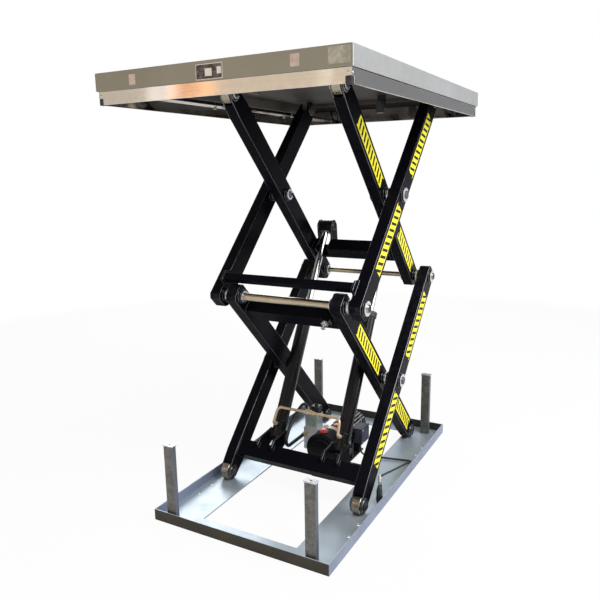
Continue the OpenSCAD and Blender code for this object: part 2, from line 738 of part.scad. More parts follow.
// hard pipe joining the two barrel ports, in the cylinders' own plane
pipe_r = 5;
cross_y = cyl_y - 16;          // half length of the straight crossing run
pipe_path = [[port_x, cyl_y, 44], [port_x, cyl_y, 57], [100, cyl_y - 4, 62], [110, cross_y, 62]];
cross_at = pipe_path[3];
module hydraulic_pipe() color("goldenrod") at_cylinder_plane() union() {
  both_sides() {
    translate([port_x, cyl_y, 0]) z_rod(24, pipe_path[0].z - 24, 4.8);
    translate([port_x, cyl_y, port_top + gap]) hex(10, 14);
    for (i = [1:3]) {
      rod_between(pipe_path[i - 1], pipe_path[i], pipe_r);
      translate(pipe_path[i]) sphere(pipe_r + 0.8);
    }
  }
  translate([cross_at.x, 0, cross_at.z]) y_rod(0, 2*cross_y, pipe_r);
  // tee in the crossing run
  translate([cross_at.x, -8, cross_at.z]) {
    y_rod(0, 34, 9);
    x_rod(0, 24, 8);
  }
}
module cylinder_rods() color("gainsboro") at_cylinders() difference() {
  union() {
    translate([cyl_len, 0, 0]) y_rod(0, 50, 24);
    box(cyl_len - 32, cyl_len, -25, 25, -19, 19);
    x_rod_from(rod_start, rod_l - 10, rod_d/2);
    // piston
    x_rod_from(rod_start, 22, cyl_bore_r - 0.1);
  }
  translate([cyl_len, 0, 0]) y_rod(0, 60, head_pin_r + bore_fit);
}
module cylinder_rod_pins() color("silver") at_cylinders() translate([cyl_len, 0, 0])
  y_rod(0, 53, head_pin_r);

base_frame();
support_posts();
post_caps();
base_hinge_lugs();
base_hinge_pins();
base_pin_clips();
power_unit_bracket();
oil_tank();
tank_filler_cap();
pump_manifold();
valve_block();
solenoid_coil();
motor_body();
motor_fan_cover();
terminal_box();
power_unit_bolts();
supply_hose();
hose_fittings();
power_cable();
cable_connector();
motor_fan();
lowering_knob();
lower_inner_frame();
lower_inner_bushes();
lower_centre_pins();
mid_front_shaft();
lower_pin_washers();
lower_pin_clips();
travel_stop_bolt();
lower_outer_frame();
lower_outer_bushes();
lower_roller_axles();
lower_axle_clips();
cylinder_foot_pins();
lower_rollers();
lower_roller_bushes();
upper_inner_frame();
upper_centre_pins();
mid_back_shaft();
upper_pin_washers();
upper_pin_clips();
upper_roller_axles();
upper_rollers();
upper_roller_bushes();
upper_outer_frame();
upper_outer_bushes();
platform_deck();
roller_guides();
platform_hinge_lugs();
platform_hinge_pins();
platform_pin_clips();
safety_switches();
safety_bar_hangers();
safety_bar();
safety_bar_corners();
cylinder_barrels();
cylinder_glands();
hydraulic_pipe();
cylinder_rods();
cylinder_rod_pins();
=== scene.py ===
# A double scissor lift table with its power unit, standing on the floor at z = 0.
# Its length runs along x and its width along y. The labelled front edge faces -x.
# "Near" is the -y side and "far" the +y side. The arms hinge at one end and roll
# at the other; the motor, pump and tank lie in the base along x.
import json
import math

import bpy
import bmesh
from mathutils import Matrix, Vector, noise


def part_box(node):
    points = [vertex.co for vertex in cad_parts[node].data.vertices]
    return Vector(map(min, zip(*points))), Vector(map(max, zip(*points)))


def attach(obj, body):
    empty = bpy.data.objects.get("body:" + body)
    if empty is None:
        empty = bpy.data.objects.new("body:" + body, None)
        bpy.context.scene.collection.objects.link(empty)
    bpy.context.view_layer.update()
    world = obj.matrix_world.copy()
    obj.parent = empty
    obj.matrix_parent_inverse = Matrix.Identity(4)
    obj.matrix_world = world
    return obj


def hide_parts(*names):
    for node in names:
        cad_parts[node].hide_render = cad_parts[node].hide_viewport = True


MM = 0.001
SIDES = (-1, 1)

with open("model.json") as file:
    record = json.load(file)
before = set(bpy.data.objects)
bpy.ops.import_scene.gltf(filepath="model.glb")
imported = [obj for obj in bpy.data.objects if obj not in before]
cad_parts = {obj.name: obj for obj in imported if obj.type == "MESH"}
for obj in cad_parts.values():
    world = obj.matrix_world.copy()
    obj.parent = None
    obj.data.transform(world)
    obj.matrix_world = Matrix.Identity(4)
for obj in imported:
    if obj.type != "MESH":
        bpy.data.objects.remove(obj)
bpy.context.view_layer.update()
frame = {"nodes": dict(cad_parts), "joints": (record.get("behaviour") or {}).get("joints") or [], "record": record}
NODES = frame["nodes"]
scene = bpy.context.scene

# ---------------------------------------------------------------- layout, from the frame
JOINTS = {joint["name"]: joint for joint in frame["joints"]}


def joint_place(name):
    return JOINTS[name]["pos_m"]


HINGE_X, _, BOTTOM_Z = joint_place("lift")
ROLLER_X, _, TOP_Z = joint_place("upper_roller_spin")
MID_Z = joint_place("mid_pivot")[2]
ARM_LENGTH = math.hypot(HINGE_X - ROLLER_X, MID_Z - BOTTOM_Z)
ARM_ANGLE = math.atan2(MID_Z - BOTTOM_Z, HINGE_X - ROLLER_X)
DECK_TOP = TOP_Z + BOTTOM_Z
FOOT_X, _, FOOT_Z = joint_place("cylinder_foot_pivot")
stroke = JOINTS["cylinder_stroke"]["axis"]
STROKE_ANGLE = math.atan2(stroke[2], stroke[0])
pin_low, pin_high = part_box("cylinder_rod_pins")
CYLINDER_LENGTH = math.hypot((pin_low.x + pin_high.x) / 2 - FOOT_X,
                             (pin_low.z + pin_high.z) / 2 - FOOT_Z)

# the same places in millimetres
HINGE_X_MM = HINGE_X * 1000
DECK_MM = DECK_TOP * 1000
MOTOR_Y, MOTOR_Z = (value * 1000 for value in joint_place("motor_spin")[1:3])
CYLINDER_Y = 146


def slanted(x, z, angle, mirror=1):
    "axes at (x, z): local x along a part that rises at the angle, local z across it"
    cos, sin = math.cos(angle), math.sin(angle)
    return Matrix(((mirror * cos, 0, -mirror * sin, x), (0, 1, 0, 0),
                   (sin, 0, cos, z), (0, 0, 0, 1)))


AXES = {
    "lower_outer": slanted(ROLLER_X, BOTTOM_Z, ARM_ANGLE),
    "lower_inner": slanted(HINGE_X, BOTTOM_Z, ARM_ANGLE, mirror=-1),
    "upper_inner": slanted(HINGE_X, MID_Z, ARM_ANGLE, mirror=-1),
    "upper_outer": slanted(ROLLER_X, MID_Z, ARM_ANGLE),
    "cylinder_barrels": slanted(FOOT_X, FOOT_Z, STROKE_ANGLE),
}
CYLINDER_ALONG = AXES["cylinder_barrels"].to_3x3() @ Vector((1, 0, 0))
CYLINDER_ACROSS = AXES["cylinder_barrels"].to_3x3() @ Vector((0, 0, 1))


def point(x, y, z):
    "a point in the world, given in millimetres"
    return Vector((x * MM, y * MM, z * MM))


def local(body, x, y, z):
    "a point given in a slanted body's own axes, in millimetres"
    return AXES[body] @ point(x, y, z)


# ---------------------------------------------------------------- shader helpers
def feed(tree, socket, value):
    "link a socket, or set it to a number or an opaque colour"
    if isinstance(value, bpy.types.NodeSocket):
        tree.links.new(value, socket)
    else:
        socket.default_value = (*value, 1) if isinstance(value, tuple) else value


def math_node(tree, operation, first, second=None, clamp=False):
    node = tree.nodes.new("ShaderNodeMath")
    node.operation = operation
    node.use_clamp = clamp
    feed(tree, node.inputs[0], first)
    if second is not None:
        feed(tree, node.inputs[1], second)
    return node.outputs[0]


def times(tree, first, second):
    return math_node(tree, "MULTIPLY", first, second)


def mix_rgb(tree, factor, first, second):
    node = tree.nodes.new("ShaderNodeMix")
    node.data_type = "RGBA"
    for index, value in ((0, factor), (6, first), (7, second)):
        feed(tree, node.inputs[index], value)
    return node.outputs[2]


def noise_tex(tree, scale, detail, rough, stretch=None):
    source = tree.nodes.new("ShaderNodeTexCoord").outputs["Object"]
    if stretch is not None:
        mapping = tree.nodes.new("ShaderNodeMapping")
        mapping.inputs["Scale"].default_value = stretch
        tree.links.new(source, mapping.inputs["Vector"])
        source = mapping.outputs[0]
    node = tree.nodes.new("ShaderNodeTexNoise")
    node.inputs["Scale"].default_value = scale
    node.inputs["Detail"].default_value = detail
    node.inputs["Roughness"].default_value = rough
    tree.links.new(source, node.inputs["Vector"])
    return node.outputs["Fac"]


def ramp(tree, factor, *stops):
    "a grey ramp with two stops, each (position, value)"
    node = tree.nodes.new("ShaderNodeValToRGB")
    for element, (position, value) in zip(node.color_ramp.elements, stops):
        element.position = position
        element.color = (value, value, value, 1)
    tree.links.new(factor, node.inputs[0])
    return node.outputs[0]


def noise_ramp(tree, *stops, **settings):
    return ramp(tree, noise_tex(tree, **settings), *stops)


def step_mask(tree, value, low, high):
    "rises smoothly from zero at low to one at high"
    node = tree.nodes.new("ShaderNodeMapRange")
    node.interpolation_type = "SMOOTHSTEP"
    node.inputs["From Min"].default_value = low
    node.inputs["From Max"].default_value = high
    tree.links.new(value, node.inputs["Value"])
    return node.outputs[0]


def split(tree, vector):
    node = tree.nodes.new("ShaderNodeSeparateXYZ")
    tree.links.new(vector, node.inputs[0])
    return node.outputs


def coordinates(tree, kind="Object"):
    return split(tree, tree.nodes.new("ShaderNodeTexCoord").outputs[kind])


def bump(tree, height, strength, distance, under=None):
    node = tree.nodes.new("ShaderNodeBump")
    node.inputs["Strength"].default_value = strength
    node.inputs["Distance"].default_value = distance
    tree.links.new(height, node.inputs["Height"])
    if under is not None:
        tree.links.new(under, node.inputs["Normal"])
    return node.outputs[0]


def new_material(name):
    material = bpy.data.materials.new(name)
    material.use_nodes = True
    tree = material.node_tree
    return material, tree, tree.nodes["Principled BSDF"]


MAT = {}


def finish(slot, name, base, alt, patches, rough, metallic=0, spec=0.5, coat=(0.0, 0.08),
           brush=None, grain=None, ripple=None, wear=None, dust=None):
    """Make a procedural finish and file it in MAT under its slot.

    patches: (scale, amount) of the alt colour over the base
    rough: (mean, spread, scale of its variation)
    coat: (weight, roughness)
    brush: (stretch of the brushed lines along x, y, z; amount)
    grain, ripple: fine and broad bumps, (scale, strength, distance)
    wear: (colour, amount) on worn edges
    dust: (colour, amount) on upward faces
    """
    material, tree, shader = new_material(name)
    MAT[slot] = material
    scale, amount = patches
    patch = noise_ramp(tree, (0.32, 0.0), (0.68, 1.0), scale=scale, detail=5, rough=0.6)
    colour = mix_rgb(tree, times(tree, patch, amount), base, alt)
    mean, spread, scale = rough
    roughness = noise_ramp(tree, (0.3, mean - spread / 2), (0.7, mean + spread / 2),
                           scale=scale, detail=4, rough=0.6)

    def roughen(mask, amount):
        return math_node(tree, "ADD", roughness, times(tree, mask, amount), clamp=True)

    heights = []
    if brush:
        stretch, amount = brush
        lines = noise_tex(tree, scale=1.0, detail=3, rough=0.7, stretch=stretch)
        mask = times(tree, ramp(tree, lines, (0.3, 0.0), (0.7, 1.0)), amount)
        colour = mix_rgb(tree, mask, colour, tuple(value * 1.35 + 0.02 for value in base))
        roughness = roughen(math_node(tree, "SUBTRACT", lines, 0.5), 0.25)
        heights.append((lines, 0.10, 0.00012))
    if wear:
        tone, amount = wear
        geometry = tree.nodes.new("ShaderNodeNewGeometry")
        edges = ramp(tree, geometry.outputs["Pointiness"], (0.52, 0.0), (0.60, 1.0))
        spots = noise_ramp(tree, (0.42, 0.0), (0.62, 1.0), scale=45, detail=5, rough=0.7)
        mask = times(tree, times(tree, edges, spots), amount)
        colour = mix_rgb(tree, mask, colour, tone)
        roughness = roughen(mask, 0.12)
    if dust:
        tone, amount = dust
        normal = tree.nodes.new("ShaderNodeNewGeometry").outputs["Normal"]
        upward = ramp(tree, split(tree, normal)["Z"], (0.35, 0.0), (0.95, 1.0))
        spots = noise_ramp(tree, (0.35, 0.15), (0.75, 1.0), scale=30, detail=6, rough=0.75)
        mask = times(tree, times(tree, upward, spots), amount)
        colour = mix_rgb(tree, mask, colour, tone)
        roughness = roughen(mask, 0.35)
    for settings, detail, soft in ((grain, 3, 0.55), (ripple, 2, 0.5)):
        if settings:
            scale, strength, distance = settings
            height = noise_tex(tree, scale=scale, detail=detail, rough=soft)
            heights.append((height, strength, distance))
    normal = None
    for height, strength, distance in heights:
        normal = bump(tree, height, strength, distance, under=normal)

    tree.links.new(normal, shader.inputs["Normal"])
    if coat[0] > 0:
        tree.links.new(normal, shader.inputs["Coat Normal"])
    for socket, value in (("Base Color", colour), ("Roughness", roughness),
                          ("Metallic", metallic), ("Specular IOR Level", spec),
                          ("Coat Weight", coat[0]), ("Coat Roughness", coat[1])):
        feed(tree, shader.inputs[socket], value)


TINT_SOCKETS = {"rough": "Roughness", "metallic": "Metallic",
                "spec": "Specular IOR Level", "coat": "Coat Weight"}


def tint(slot, mask_of, base, alt, scale, **changes):
    """paint another two-tone colour over a material where the mask is one; some calls lay a second finish, the
    rest painted shade and a painted highlight
    """
    tree = MAT[slot].node_tree
    shader = tree.nodes["Principled BSDF"]
    mask = mask_of(tree)
    patch = noise_ramp(tree, (0.32, 0.0), (0.68, 1.0), scale=scale, detail=4, rough=0.6)
    tones = mix_rgb(tree, patch, base, alt)
    socket = shader.inputs["Base Color"]
    tree.links.new(mix_rgb(tree, mask, socket.links[0].from_socket, tones), socket)
    for key, value in changes.items():
        socket = shader.inputs[TINT_SOCKETS[key]]
        old = socket.links[0].from_socket if socket.is_linked else socket.default_value
        node = tree.nodes.new("ShaderNodeMix")
        node.data_type = "FLOAT"
        for index, source in ((0, mask), (2, old), (3, value)):
            feed(tree, node.inputs[index], source)
        tree.links.new(node.outputs[0], socket)


# ---------------------------------------------------------------- masks for the tints
def size_along(tree, axis, kind="Object"):
    return math_node(tree, "ABSOLUTE", coordinates(tree, kind)[axis])


def facing(axis, low=0.55, high=0.85):
    "a mask for the faces that look along x (0) or y (1), either way"
    return lambda tree: step_mask(tree, size_along(tree, axis, "Normal"), low, high)


def highlighted_edges(tree):
    """one on the rounded long edges between a side face and the faces beside it, where a highlight is painted"""
    normal_y = size_along(tree, 1, "Normal")
    flat = math_node(tree, "SUBTRACT", 1.0, step_mask(tree, normal_y, 0.90, 0.98))
    return times(tree, step_mask(tree, normal_y, 0.10, 0.25), flat)


def under_deck_shade(tree):
    "one inside the deck's rim and below its top sheet"
    x, y, z = coordinates(tree)
    in_length = math_node(tree, "LESS_THAN", math_node(tree, "ABSOLUTE", x), 0.6464)
    in_width = math_node(tree, "LESS_THAN", math_node(tree, "ABSOLUTE", y), 0.4464)
    below = math_node(tree, "LESS_THAN", z, DECK_TOP - 0.003)
    return times(tree, times(tree, in_length, in_width), below)


def base_end_shade(tree):
    "one on the base's end faces"
    return times(tree, facing(0)(tree), step_mask(tree, size_along(tree, 0), 0.60, 0.606))


def outer_washer(tree):
    "one on the dark washers that lie under the outer clips"
    y = size_along(tree, 1)
    return times(tree, math_node(tree, "GREATER_THAN", y, 0.3125),
                 math_node(tree, "LESS_THAN", y, 0.31935))


def rod_end(tree):
    "one on the black rod end block, zero on the chromed rod"
    x, _, z = coordinates(tree)
    along_x = times(tree, math_node(tree, "SUBTRACT", x, FOOT_X), math.cos(STROKE_ANGLE))
    along_z = times(tree, math_node(tree, "SUBTRACT", z, FOOT_Z), math.sin(STROKE_ANGLE))
    return step_mask(tree, math_node(tree, "ADD", along_x, along_z),
                     CYLINDER_LENGTH - 0.0324, CYLINDER_LENGTH - 0.0318)


def pump_end(tree):
    "one on the +x part of the pump casting"
    return step_mask(tree, coordinates(tree)[0], 0.0480, 0.0486)


# ---------------------------------------------------------------- arm and cylinder paint
finish("arm_paint", "m_arm_powder_coat", (0.0022, 0.0024, 0.0042), (0.0050, 0.0048, 0.0078),
       patches=(4, 0.8), rough=(0.32, 0.10, 25), spec=0.035, grain=(420, 0.10, 0.0004),
       ripple=(60, 0.05, 0.0008), wear=((0.10, 0.10, 0.12), 0.45),
       dust=((0.05, 0.05, 0.055), 0.05))
# painted highlight: a lighter grey along the arms' rounded long edges, with stronger gloss
tint("arm_paint", highlighted_edges, (0.030, 0.030, 0.038), (0.060, 0.060, 0.070), scale=14,
     rough=0.22, spec=0.8, coat=0.8)
finish("barrel_paint", "m_barrel_gloss", (0.0050, 0.0042, 0.0042), (0.010, 0.008, 0.0075),
       patches=(7, 0.6), rough=(0.24, 0.08, 30), spec=0.30, grain=(300, 0.06, 0.0004),
       wear=((0.2, 0.19, 0.18), 0.4))
finish("gland_paint", "m_gland_black", (0.018, 0.018, 0.018), (0.03, 0.03, 0.03),
       patches=(20, 0.7), rough=(0.42, 0.12, 60), metallic=0.2, grain=(500, 0.12, 0.0004),
       wear=((0.32, 0.32, 0.33), 0.5))

# ---------------------------------------------------------------- deck, base and posts
finish("deck_paint", "m_deck_silver_paint", (0.33, 0.325, 0.315), (0.40, 0.40, 0.395),
       patches=(2.2, 0.9), rough=(0.42, 0.10, 10), metallic=0.35, coat=(0.15, 0.3),
       grain=(260, 0.10, 0.0005), ripple=(9, 0.06, 0.003), wear=((0.62, 0.62, 0.60), 0.5),
       dust=((0.42, 0.41, 0.39), 0.15))
# painted shade: the deck's faces that look along x are a darker warm taupe than its silver faces
tint("deck_paint", facing(0), (0.222, 0.206, 0.156), (0.255, 0.238, 0.185), scale=2.5,
     rough=0.40)
# painted shade: inside the rim and under the top sheet the deck is near-black and matt
tint("deck_paint", under_deck_shade, (0.030, 0.025, 0.022), (0.060, 0.050, 0.043), scale=3.0,
     rough=0.6, metallic=0.0, spec=0.08, coat=0.0)
finish("underside_paint", "m_underside_grey", (0.060, 0.052, 0.047), (0.105, 0.092, 0.082),
       patches=(3.0, 0.9), rough=(0.45, 0.15, 12), metallic=0.25, brush=((2, 60, 60), 0.25),
       grain=(200, 0.10, 0.0006), wear=((0.3, 0.28, 0.26), 0.4))
finish("galvanised_sheet", "m_base_galvanised", (0.42, 0.50, 0.57), (0.52, 0.60, 0.66),
       patches=(3.0, 0.8), rough=(0.34, 0.12, 9), metallic=0.55, grain=(180, 0.06, 0.0005),
       ripple=(14, 0.06, 0.002), wear=((0.75, 0.76, 0.80), 0.8),
       dust=((0.48, 0.49, 0.48), 0.12))
# painted shade: the base's end faces are a dark olive copy of the sheet
tint("galvanised_sheet", base_end_shade, (0.043, 0.040, 0.027), (0.062, 0.056, 0.040), scale=5,
     rough=0.42)
# painted shade: the faces that look along y are a darker blue-lavender copy of the sheet
tint("galvanised_sheet", facing(1), (0.235, 0.265, 0.360), (0.30, 0.335, 0.44), scale=5,
     rough=0.40)
# painted shade: the posts' grey steel is dark olive on the faces that look along x
finish("post_steel", "m_post_grey", (0.105, 0.102, 0.088), (0.125, 0.122, 0.108),
       patches=(6, 0.6), rough=(0.36, 0.06, 30), metallic=0.4, grain=(260, 0.04, 0.0003),
       wear=((0.50, 0.51, 0.53), 0.5))
# painted light: the posts' faces that look along y are a bluish grey
tint("post_steel", facing(1), (0.105, 0.120, 0.150), (0.125, 0.140, 0.172), scale=5,
     rough=0.36)
finish("cap_steel", "m_cap_zinc", (0.56, 0.58, 0.60), (0.72, 0.73, 0.74),
       patches=(40, 0.7), rough=(0.30, 0.12, 70), metallic=0.8, grain=(420, 0.10, 0.0003),
       wear=((0.85, 0.85, 0.85), 0.4))

# ---------------------------------------------------------------- lugs, pins, clips, shafts
finish("lug_steel", "m_lug_black", (0.012, 0.012, 0.015), (0.022, 0.022, 0.024),
       patches=(14, 0.7), rough=(0.36, 0.12, 40), grain=(380, 0.12, 0.0004),
       wear=((0.25, 0.25, 0.26), 0.6), dust=((0.12, 0.12, 0.12), 0.15))
finish("pin_steel", "m_pin_oiled_steel", (0.070, 0.070, 0.078), (0.13, 0.13, 0.14),
       patches=(60, 0.8), rough=(0.34, 0.12, 90), metallic=0.85, brush=((40, 900, 40), 0.3),
       wear=((0.5, 0.5, 0.5), 0.6))
finish("clip_steel", "m_clip_black_oxide", (0.035, 0.035, 0.037), (0.07, 0.07, 0.07),
       patches=(80, 0.8), rough=(0.40, 0.12, 90), metallic=0.7, grain=(600, 0.10, 0.0003),
       wear=((0.4, 0.4, 0.4), 0.6))
finish("bright_clip", "m_clip_zinc", (0.62, 0.64, 0.68), (0.80, 0.81, 0.83),
       patches=(70, 0.8), rough=(0.30, 0.14, 90), metallic=0.85, grain=(500, 0.10, 0.0003),
       wear=((0.9, 0.9, 0.9), 0.5))
MAT["zinc_steel"] = MAT["screw_zinc"] = MAT["bright_clip"]
tint("zinc_steel", outer_washer, (0.010, 0.010, 0.012), (0.020, 0.020, 0.022), scale=40,
     rough=0.4, metallic=0.0, spec=0.1)
# painted warm reflection: the ground steel parts are coloured golden
finish("polished_steel", "m_ground_shaft", (0.44, 0.38, 0.27), (0.54, 0.48, 0.37),
       patches=(6, 0.7), rough=(0.20, 0.08, 60), metallic=1.0, brush=((30, 1400, 30), 0.3),
       wear=((0.8, 0.8, 0.8), 0.3))
tint("polished_steel", facing(1, 0.85, 0.95), (0.018, 0.018, 0.020), (0.035, 0.035, 0.037),
     scale=40, rough=0.45, metallic=0.0, spec=0.2)
# painted warm reflection: the turned steel rollers are coloured a dull gold
finish("roller_steel", "m_roller_turned", (0.30, 0.25, 0.17), (0.42, 0.36, 0.26),
       patches=(20, 0.8), rough=(0.25, 0.12, 60), metallic=1.0, brush=((30, 1500, 30), 0.35),
       wear=((0.85, 0.82, 0.78), 0.5))
finish("bush_bronze", "m_bush_bronze", (0.42, 0.27, 0.12), (0.52, 0.36, 0.18),
       patches=(50, 0.8), rough=(0.34, 0.12, 80), metallic=1.0, brush=((60, 900, 60), 0.3))
finish("rod_chrome", "m_rod_chrome", (0.60, 0.58, 0.57), (0.70, 0.69, 0.68),
       patches=(12, 0.6), rough=(0.10, 0.05, 40), metallic=1.0, grain=(900, 0.02, 0.0002))
tint("rod_chrome", rod_end, (0.006, 0.006, 0.0075), (0.012, 0.012, 0.013), scale=30,
     rough=0.38, metallic=0.0, spec=0.2)

# ---------------------------------------------------------------- safety bar and switches
finish("bar_aluminium", "m_bar_aluminium", (0.56, 0.535, 0.50), (0.66, 0.64, 0.61),
       patches=(2.5, 0.8), rough=(0.09, 0.05, 14), metallic=1.0, brush=((5, 5, 900), 0.35),
       wear=((0.85, 0.84, 0.82), 0.6))
finish("corner_plastic", "m_corner_plastic", (0.012, 0.012, 0.012), (0.02, 0.02, 0.02),
       patches=(40, 0.6), rough=(0.45, 0.12, 60), grain=(900, 0.25, 0.0003),
       wear=((0.08, 0.08, 0.08), 0.6))
finish("switch_plastic", "m_switch_plastic", (0.016, 0.016, 0.017), (0.026, 0.026, 0.027),
       patches=(40, 0.6), rough=(0.42, 0.12, 60), grain=(900, 0.22, 0.0003),
       wear=((0.09, 0.09, 0.09), 0.6))

# ---------------------------------------------------------------- power unit
finish("tank_paint", "m_tank_satin_black", (0.0035, 0.0035, 0.0050), (0.007, 0.007, 0.009),
       patches=(12, 0.7), rough=(0.34, 0.12, 30), spec=0.2, grain=(380, 0.10, 0.0004),
       wear=((0.12, 0.12, 0.13), 0.5), dust=((0.06, 0.06, 0.06), 0.08))
finish("bracket_paint", "m_bracket_black", (0.013, 0.013, 0.015), (0.024, 0.024, 0.026),
       patches=(14, 0.7), rough=(0.40, 0.12, 40), grain=(380, 0.12, 0.0004),
       wear=((0.22, 0.22, 0.23), 0.5), dust=((0.12, 0.12, 0.12), 0.15))
finish("cap_red", "m_cap_red", (0.52, 0.035, 0.028), (0.62, 0.06, 0.045),
       patches=(60, 0.6), rough=(0.30, 0.10, 60), coat=(0.3, 0.08),
       grain=(700, 0.10, 0.0003), wear=((0.8, 0.3, 0.25), 0.4))
finish("knob_red", "m_knob_red", (0.55, 0.03, 0.025), (0.64, 0.05, 0.04),
       patches=(60, 0.6), rough=(0.28, 0.10, 60), coat=(0.3, 0.08),
       grain=(700, 0.10, 0.0003), wear=((0.8, 0.3, 0.25), 0.4))
finish("cast_alloy", "m_pump_cast_alloy", (0.66, 0.61, 0.52), (0.78, 0.74, 0.66),
       patches=(30, 0.8), rough=(0.40, 0.16, 50), metallic=0.35, grain=(330, 0.30, 0.0006),
       wear=((0.85, 0.84, 0.82), 0.6))
tint("cast_alloy", pump_end, (0.66, 0.69, 0.70), (0.76, 0.79, 0.80), scale=12,
     rough=0.38, metallic=0.4)
finish("valve_alloy", "m_valve_anodised", (0.60, 0.68, 0.64), (0.72, 0.79, 0.75),
       patches=(30, 0.7), rough=(0.32, 0.12, 60), metallic=0.7, brush=((200, 20, 20), 0.3),
       wear=((0.9, 0.9, 0.9), 0.5))
finish("coil_plastic", "m_coil_plastic", (0.015, 0.015, 0.016), (0.025, 0.025, 0.026),
       patches=(50, 0.6), rough=(0.38, 0.12, 60), grain=(900, 0.2, 0.0003),
       wear=((0.09, 0.09, 0.09), 0.5))
finish("motor_alloy", "m_motor_cast", (0.012, 0.012, 0.014), (0.022, 0.022, 0.024),
       patches=(30, 0.8), rough=(0.38, 0.16, 50), metallic=0.85, grain=(330, 0.28, 0.0005),
       wear=((0.88, 0.88, 0.88), 0.6))
finish("rib_alloy", "m_motor_rib_bright", (0.62, 0.63, 0.64), (0.74, 0.75, 0.76),
       patches=(30, 0.8), rough=(0.34, 0.14, 50), metallic=0.5, grain=(330, 0.20, 0.0004),
       wear=((0.9, 0.9, 0.9), 0.5))
finish("cover_paint", "m_fan_cover", (0.050, 0.055, 0.065), (0.075, 0.08, 0.09),
       patches=(25, 0.7), rough=(0.38, 0.12, 50), metallic=0.1, grain=(380, 0.12, 0.0004),
       wear=((0.4, 0.4, 0.42), 0.6))
finish("terminal_plastic", "m_terminal_box", (0.014, 0.015, 0.030), (0.026, 0.028, 0.052),
       patches=(30, 0.7), rough=(0.40, 0.12, 60), grain=(900, 0.2, 0.0003),
       wear=((0.2, 0.22, 0.3), 0.5))
finish("fan_plastic", "m_fan_plastic", (0.60, 0.60, 0.58), (0.70, 0.70, 0.68),
       patches=(40, 0.7), rough=(0.42, 0.12, 60), grain=(900, 0.15, 0.0003),
       wear=((0.8, 0.8, 0.8), 0.4))

# ---------------------------------------------------------------- hoses, cables and welds
finish("hose_rubber", "m_hose_rubber", (0.011, 0.012, 0.014), (0.020, 0.021, 0.024),
       patches=(60, 0.7), rough=(0.42, 0.14, 120), grain=(1500, 0.35, 0.0004),
       wear=((0.06, 0.06, 0.06), 0.4))
finish("yellow_zinc", "m_yellow_zinc", (0.58, 0.42, 0.25), (0.72, 0.58, 0.40),
       patches=(16, 0.9), rough=(0.30, 0.10, 60), metallic=0.60, grain=(500, 0.03, 0.0002),
       wear=((0.85, 0.78, 0.62), 0.4))
finish("cable_rubber", "m_cable_sheath", (0.013, 0.013, 0.013), (0.022, 0.022, 0.022),
       patches=(60, 0.7), rough=(0.46, 0.12, 120), grain=(1500, 0.2, 0.0003),
       wear=((0.06, 0.06, 0.06), 0.4))
finish("connector_plastic", "m_connector_plastic", (0.014, 0.014, 0.015),
       (0.024, 0.024, 0.025), patches=(60, 0.7), rough=(0.40, 0.12, 90),
       grain=(900, 0.2, 0.0003), wear=((0.08, 0.08, 0.08), 0.5))
finish("weld", "m_weld_bead", (0.011, 0.011, 0.014), (0.020, 0.020, 0.023),
       patches=(60, 0.8), rough=(0.32, 0.14, 120), metallic=0.1, grain=(700, 0.25, 0.0005))
finish("weld_grey", "m_weld_bead_grey", (0.23, 0.23, 0.225), (0.36, 0.36, 0.35),
       patches=(60, 0.8), rough=(0.38, 0.14, 120), metallic=0.6, grain=(700, 0.25, 0.0005))
finish("weld_dark", "m_weld_bead_underside", (0.06, 0.052, 0.047), (0.10, 0.09, 0.08),
       patches=(60, 0.8), rough=(0.4, 0.14, 120), metallic=0.3, grain=(700, 0.25, 0.0005))

# ---------------------------------------------------------------- hazard tape
YELLOW, PALE_YELLOW = (0.88, 0.77, 0.030), (1.0, 0.9055, 0.0545)
BLACK, WORN_BLACK = (0.006, 0.005, 0.005), (0.0132, 0.011, 0.011)
SCRATCH = (0.30, 0.26, 0.16)


def hazard_material(slot, name, pitch, duty, angle, edge):
    """Slanting stripes between plain yellow borders, in metres and degrees.

    pitch: stripe spacing along the tape; duty: its black share
    angle: slope of the stripes; edge: where the borders start, from the middle
    """
    MAT[slot], tree, shader = new_material(name)
    x, _, z = coordinates(tree)
    shift = times(tree, z, -1.0 / math.tan(math.radians(angle)))
    phase = math_node(tree, "ADD", x, shift)
    waver = noise_tex(tree, scale=160, detail=2, rough=0.5)
    waver = times(tree, math_node(tree, "SUBTRACT", waver, 0.5), 0.0006)
    turns = math_node(tree, "DIVIDE", math_node(tree, "ADD", phase, waver), pitch)
    # the whole turns keep the phase positive
    turn = math_node(tree, "FRACT", math_node(tree, "ADD", turns, 40.0))
    stripes = ramp(tree, turn, (duty - 0.012, 0.0), (duty + 0.012, 1.0))
    border = step_mask(tree, math_node(tree, "ABSOLUTE", z), edge, edge + 0.0008)
    stripes = math_node(tree, "MAXIMUM", stripes, border)

    fading = noise_ramp(tree, (0.3, 0.0), (0.7, 0.7), scale=14, detail=5, rough=0.6)
    yellow = mix_rgb(tree, fading, YELLOW, PALE_YELLOW)
    fading = noise_ramp(tree, (0.3, 0.0), (0.7, 0.8), scale=30, detail=4, rough=0.6)
    black = mix_rgb(tree, fading, BLACK, WORN_BLACK)
    scratches = noise_ramp(tree, (0.70, 0.0), (0.80, 0.45), scale=1.0, detail=4, rough=0.7,
                           stretch=(60, 60, 600))
    colour = mix_rgb(tree, scratches, mix_rgb(tree, stripes, black, yellow), SCRATCH)
    roughness = noise_ramp(tree, (0.3, 0.30), (0.7, 0.44), scale=40, detail=4, rough=0.6)
    height = noise_tex(tree, scale=220, detail=3, rough=0.5)
    for socket, value in (("Base Color", colour), ("Roughness", roughness),
                          ("Coat Weight", 0.03), ("Coat Roughness", 0.25),
                          ("Specular IOR Level", 0.08),
                          ("Normal", bump(tree, height, strength=0.15, distance=0.0004))):
        feed(tree, shader.inputs[socket], value)


hazard_material("hazard", "m_hazard_tape", pitch=0.0305, duty=0.43, angle=-59.0, edge=0.0205)
hazard_material("hazard_mirrored", "m_hazard_tape_mirrored", pitch=0.0285, duty=0.46,
                angle=73.0, edge=0.0185)

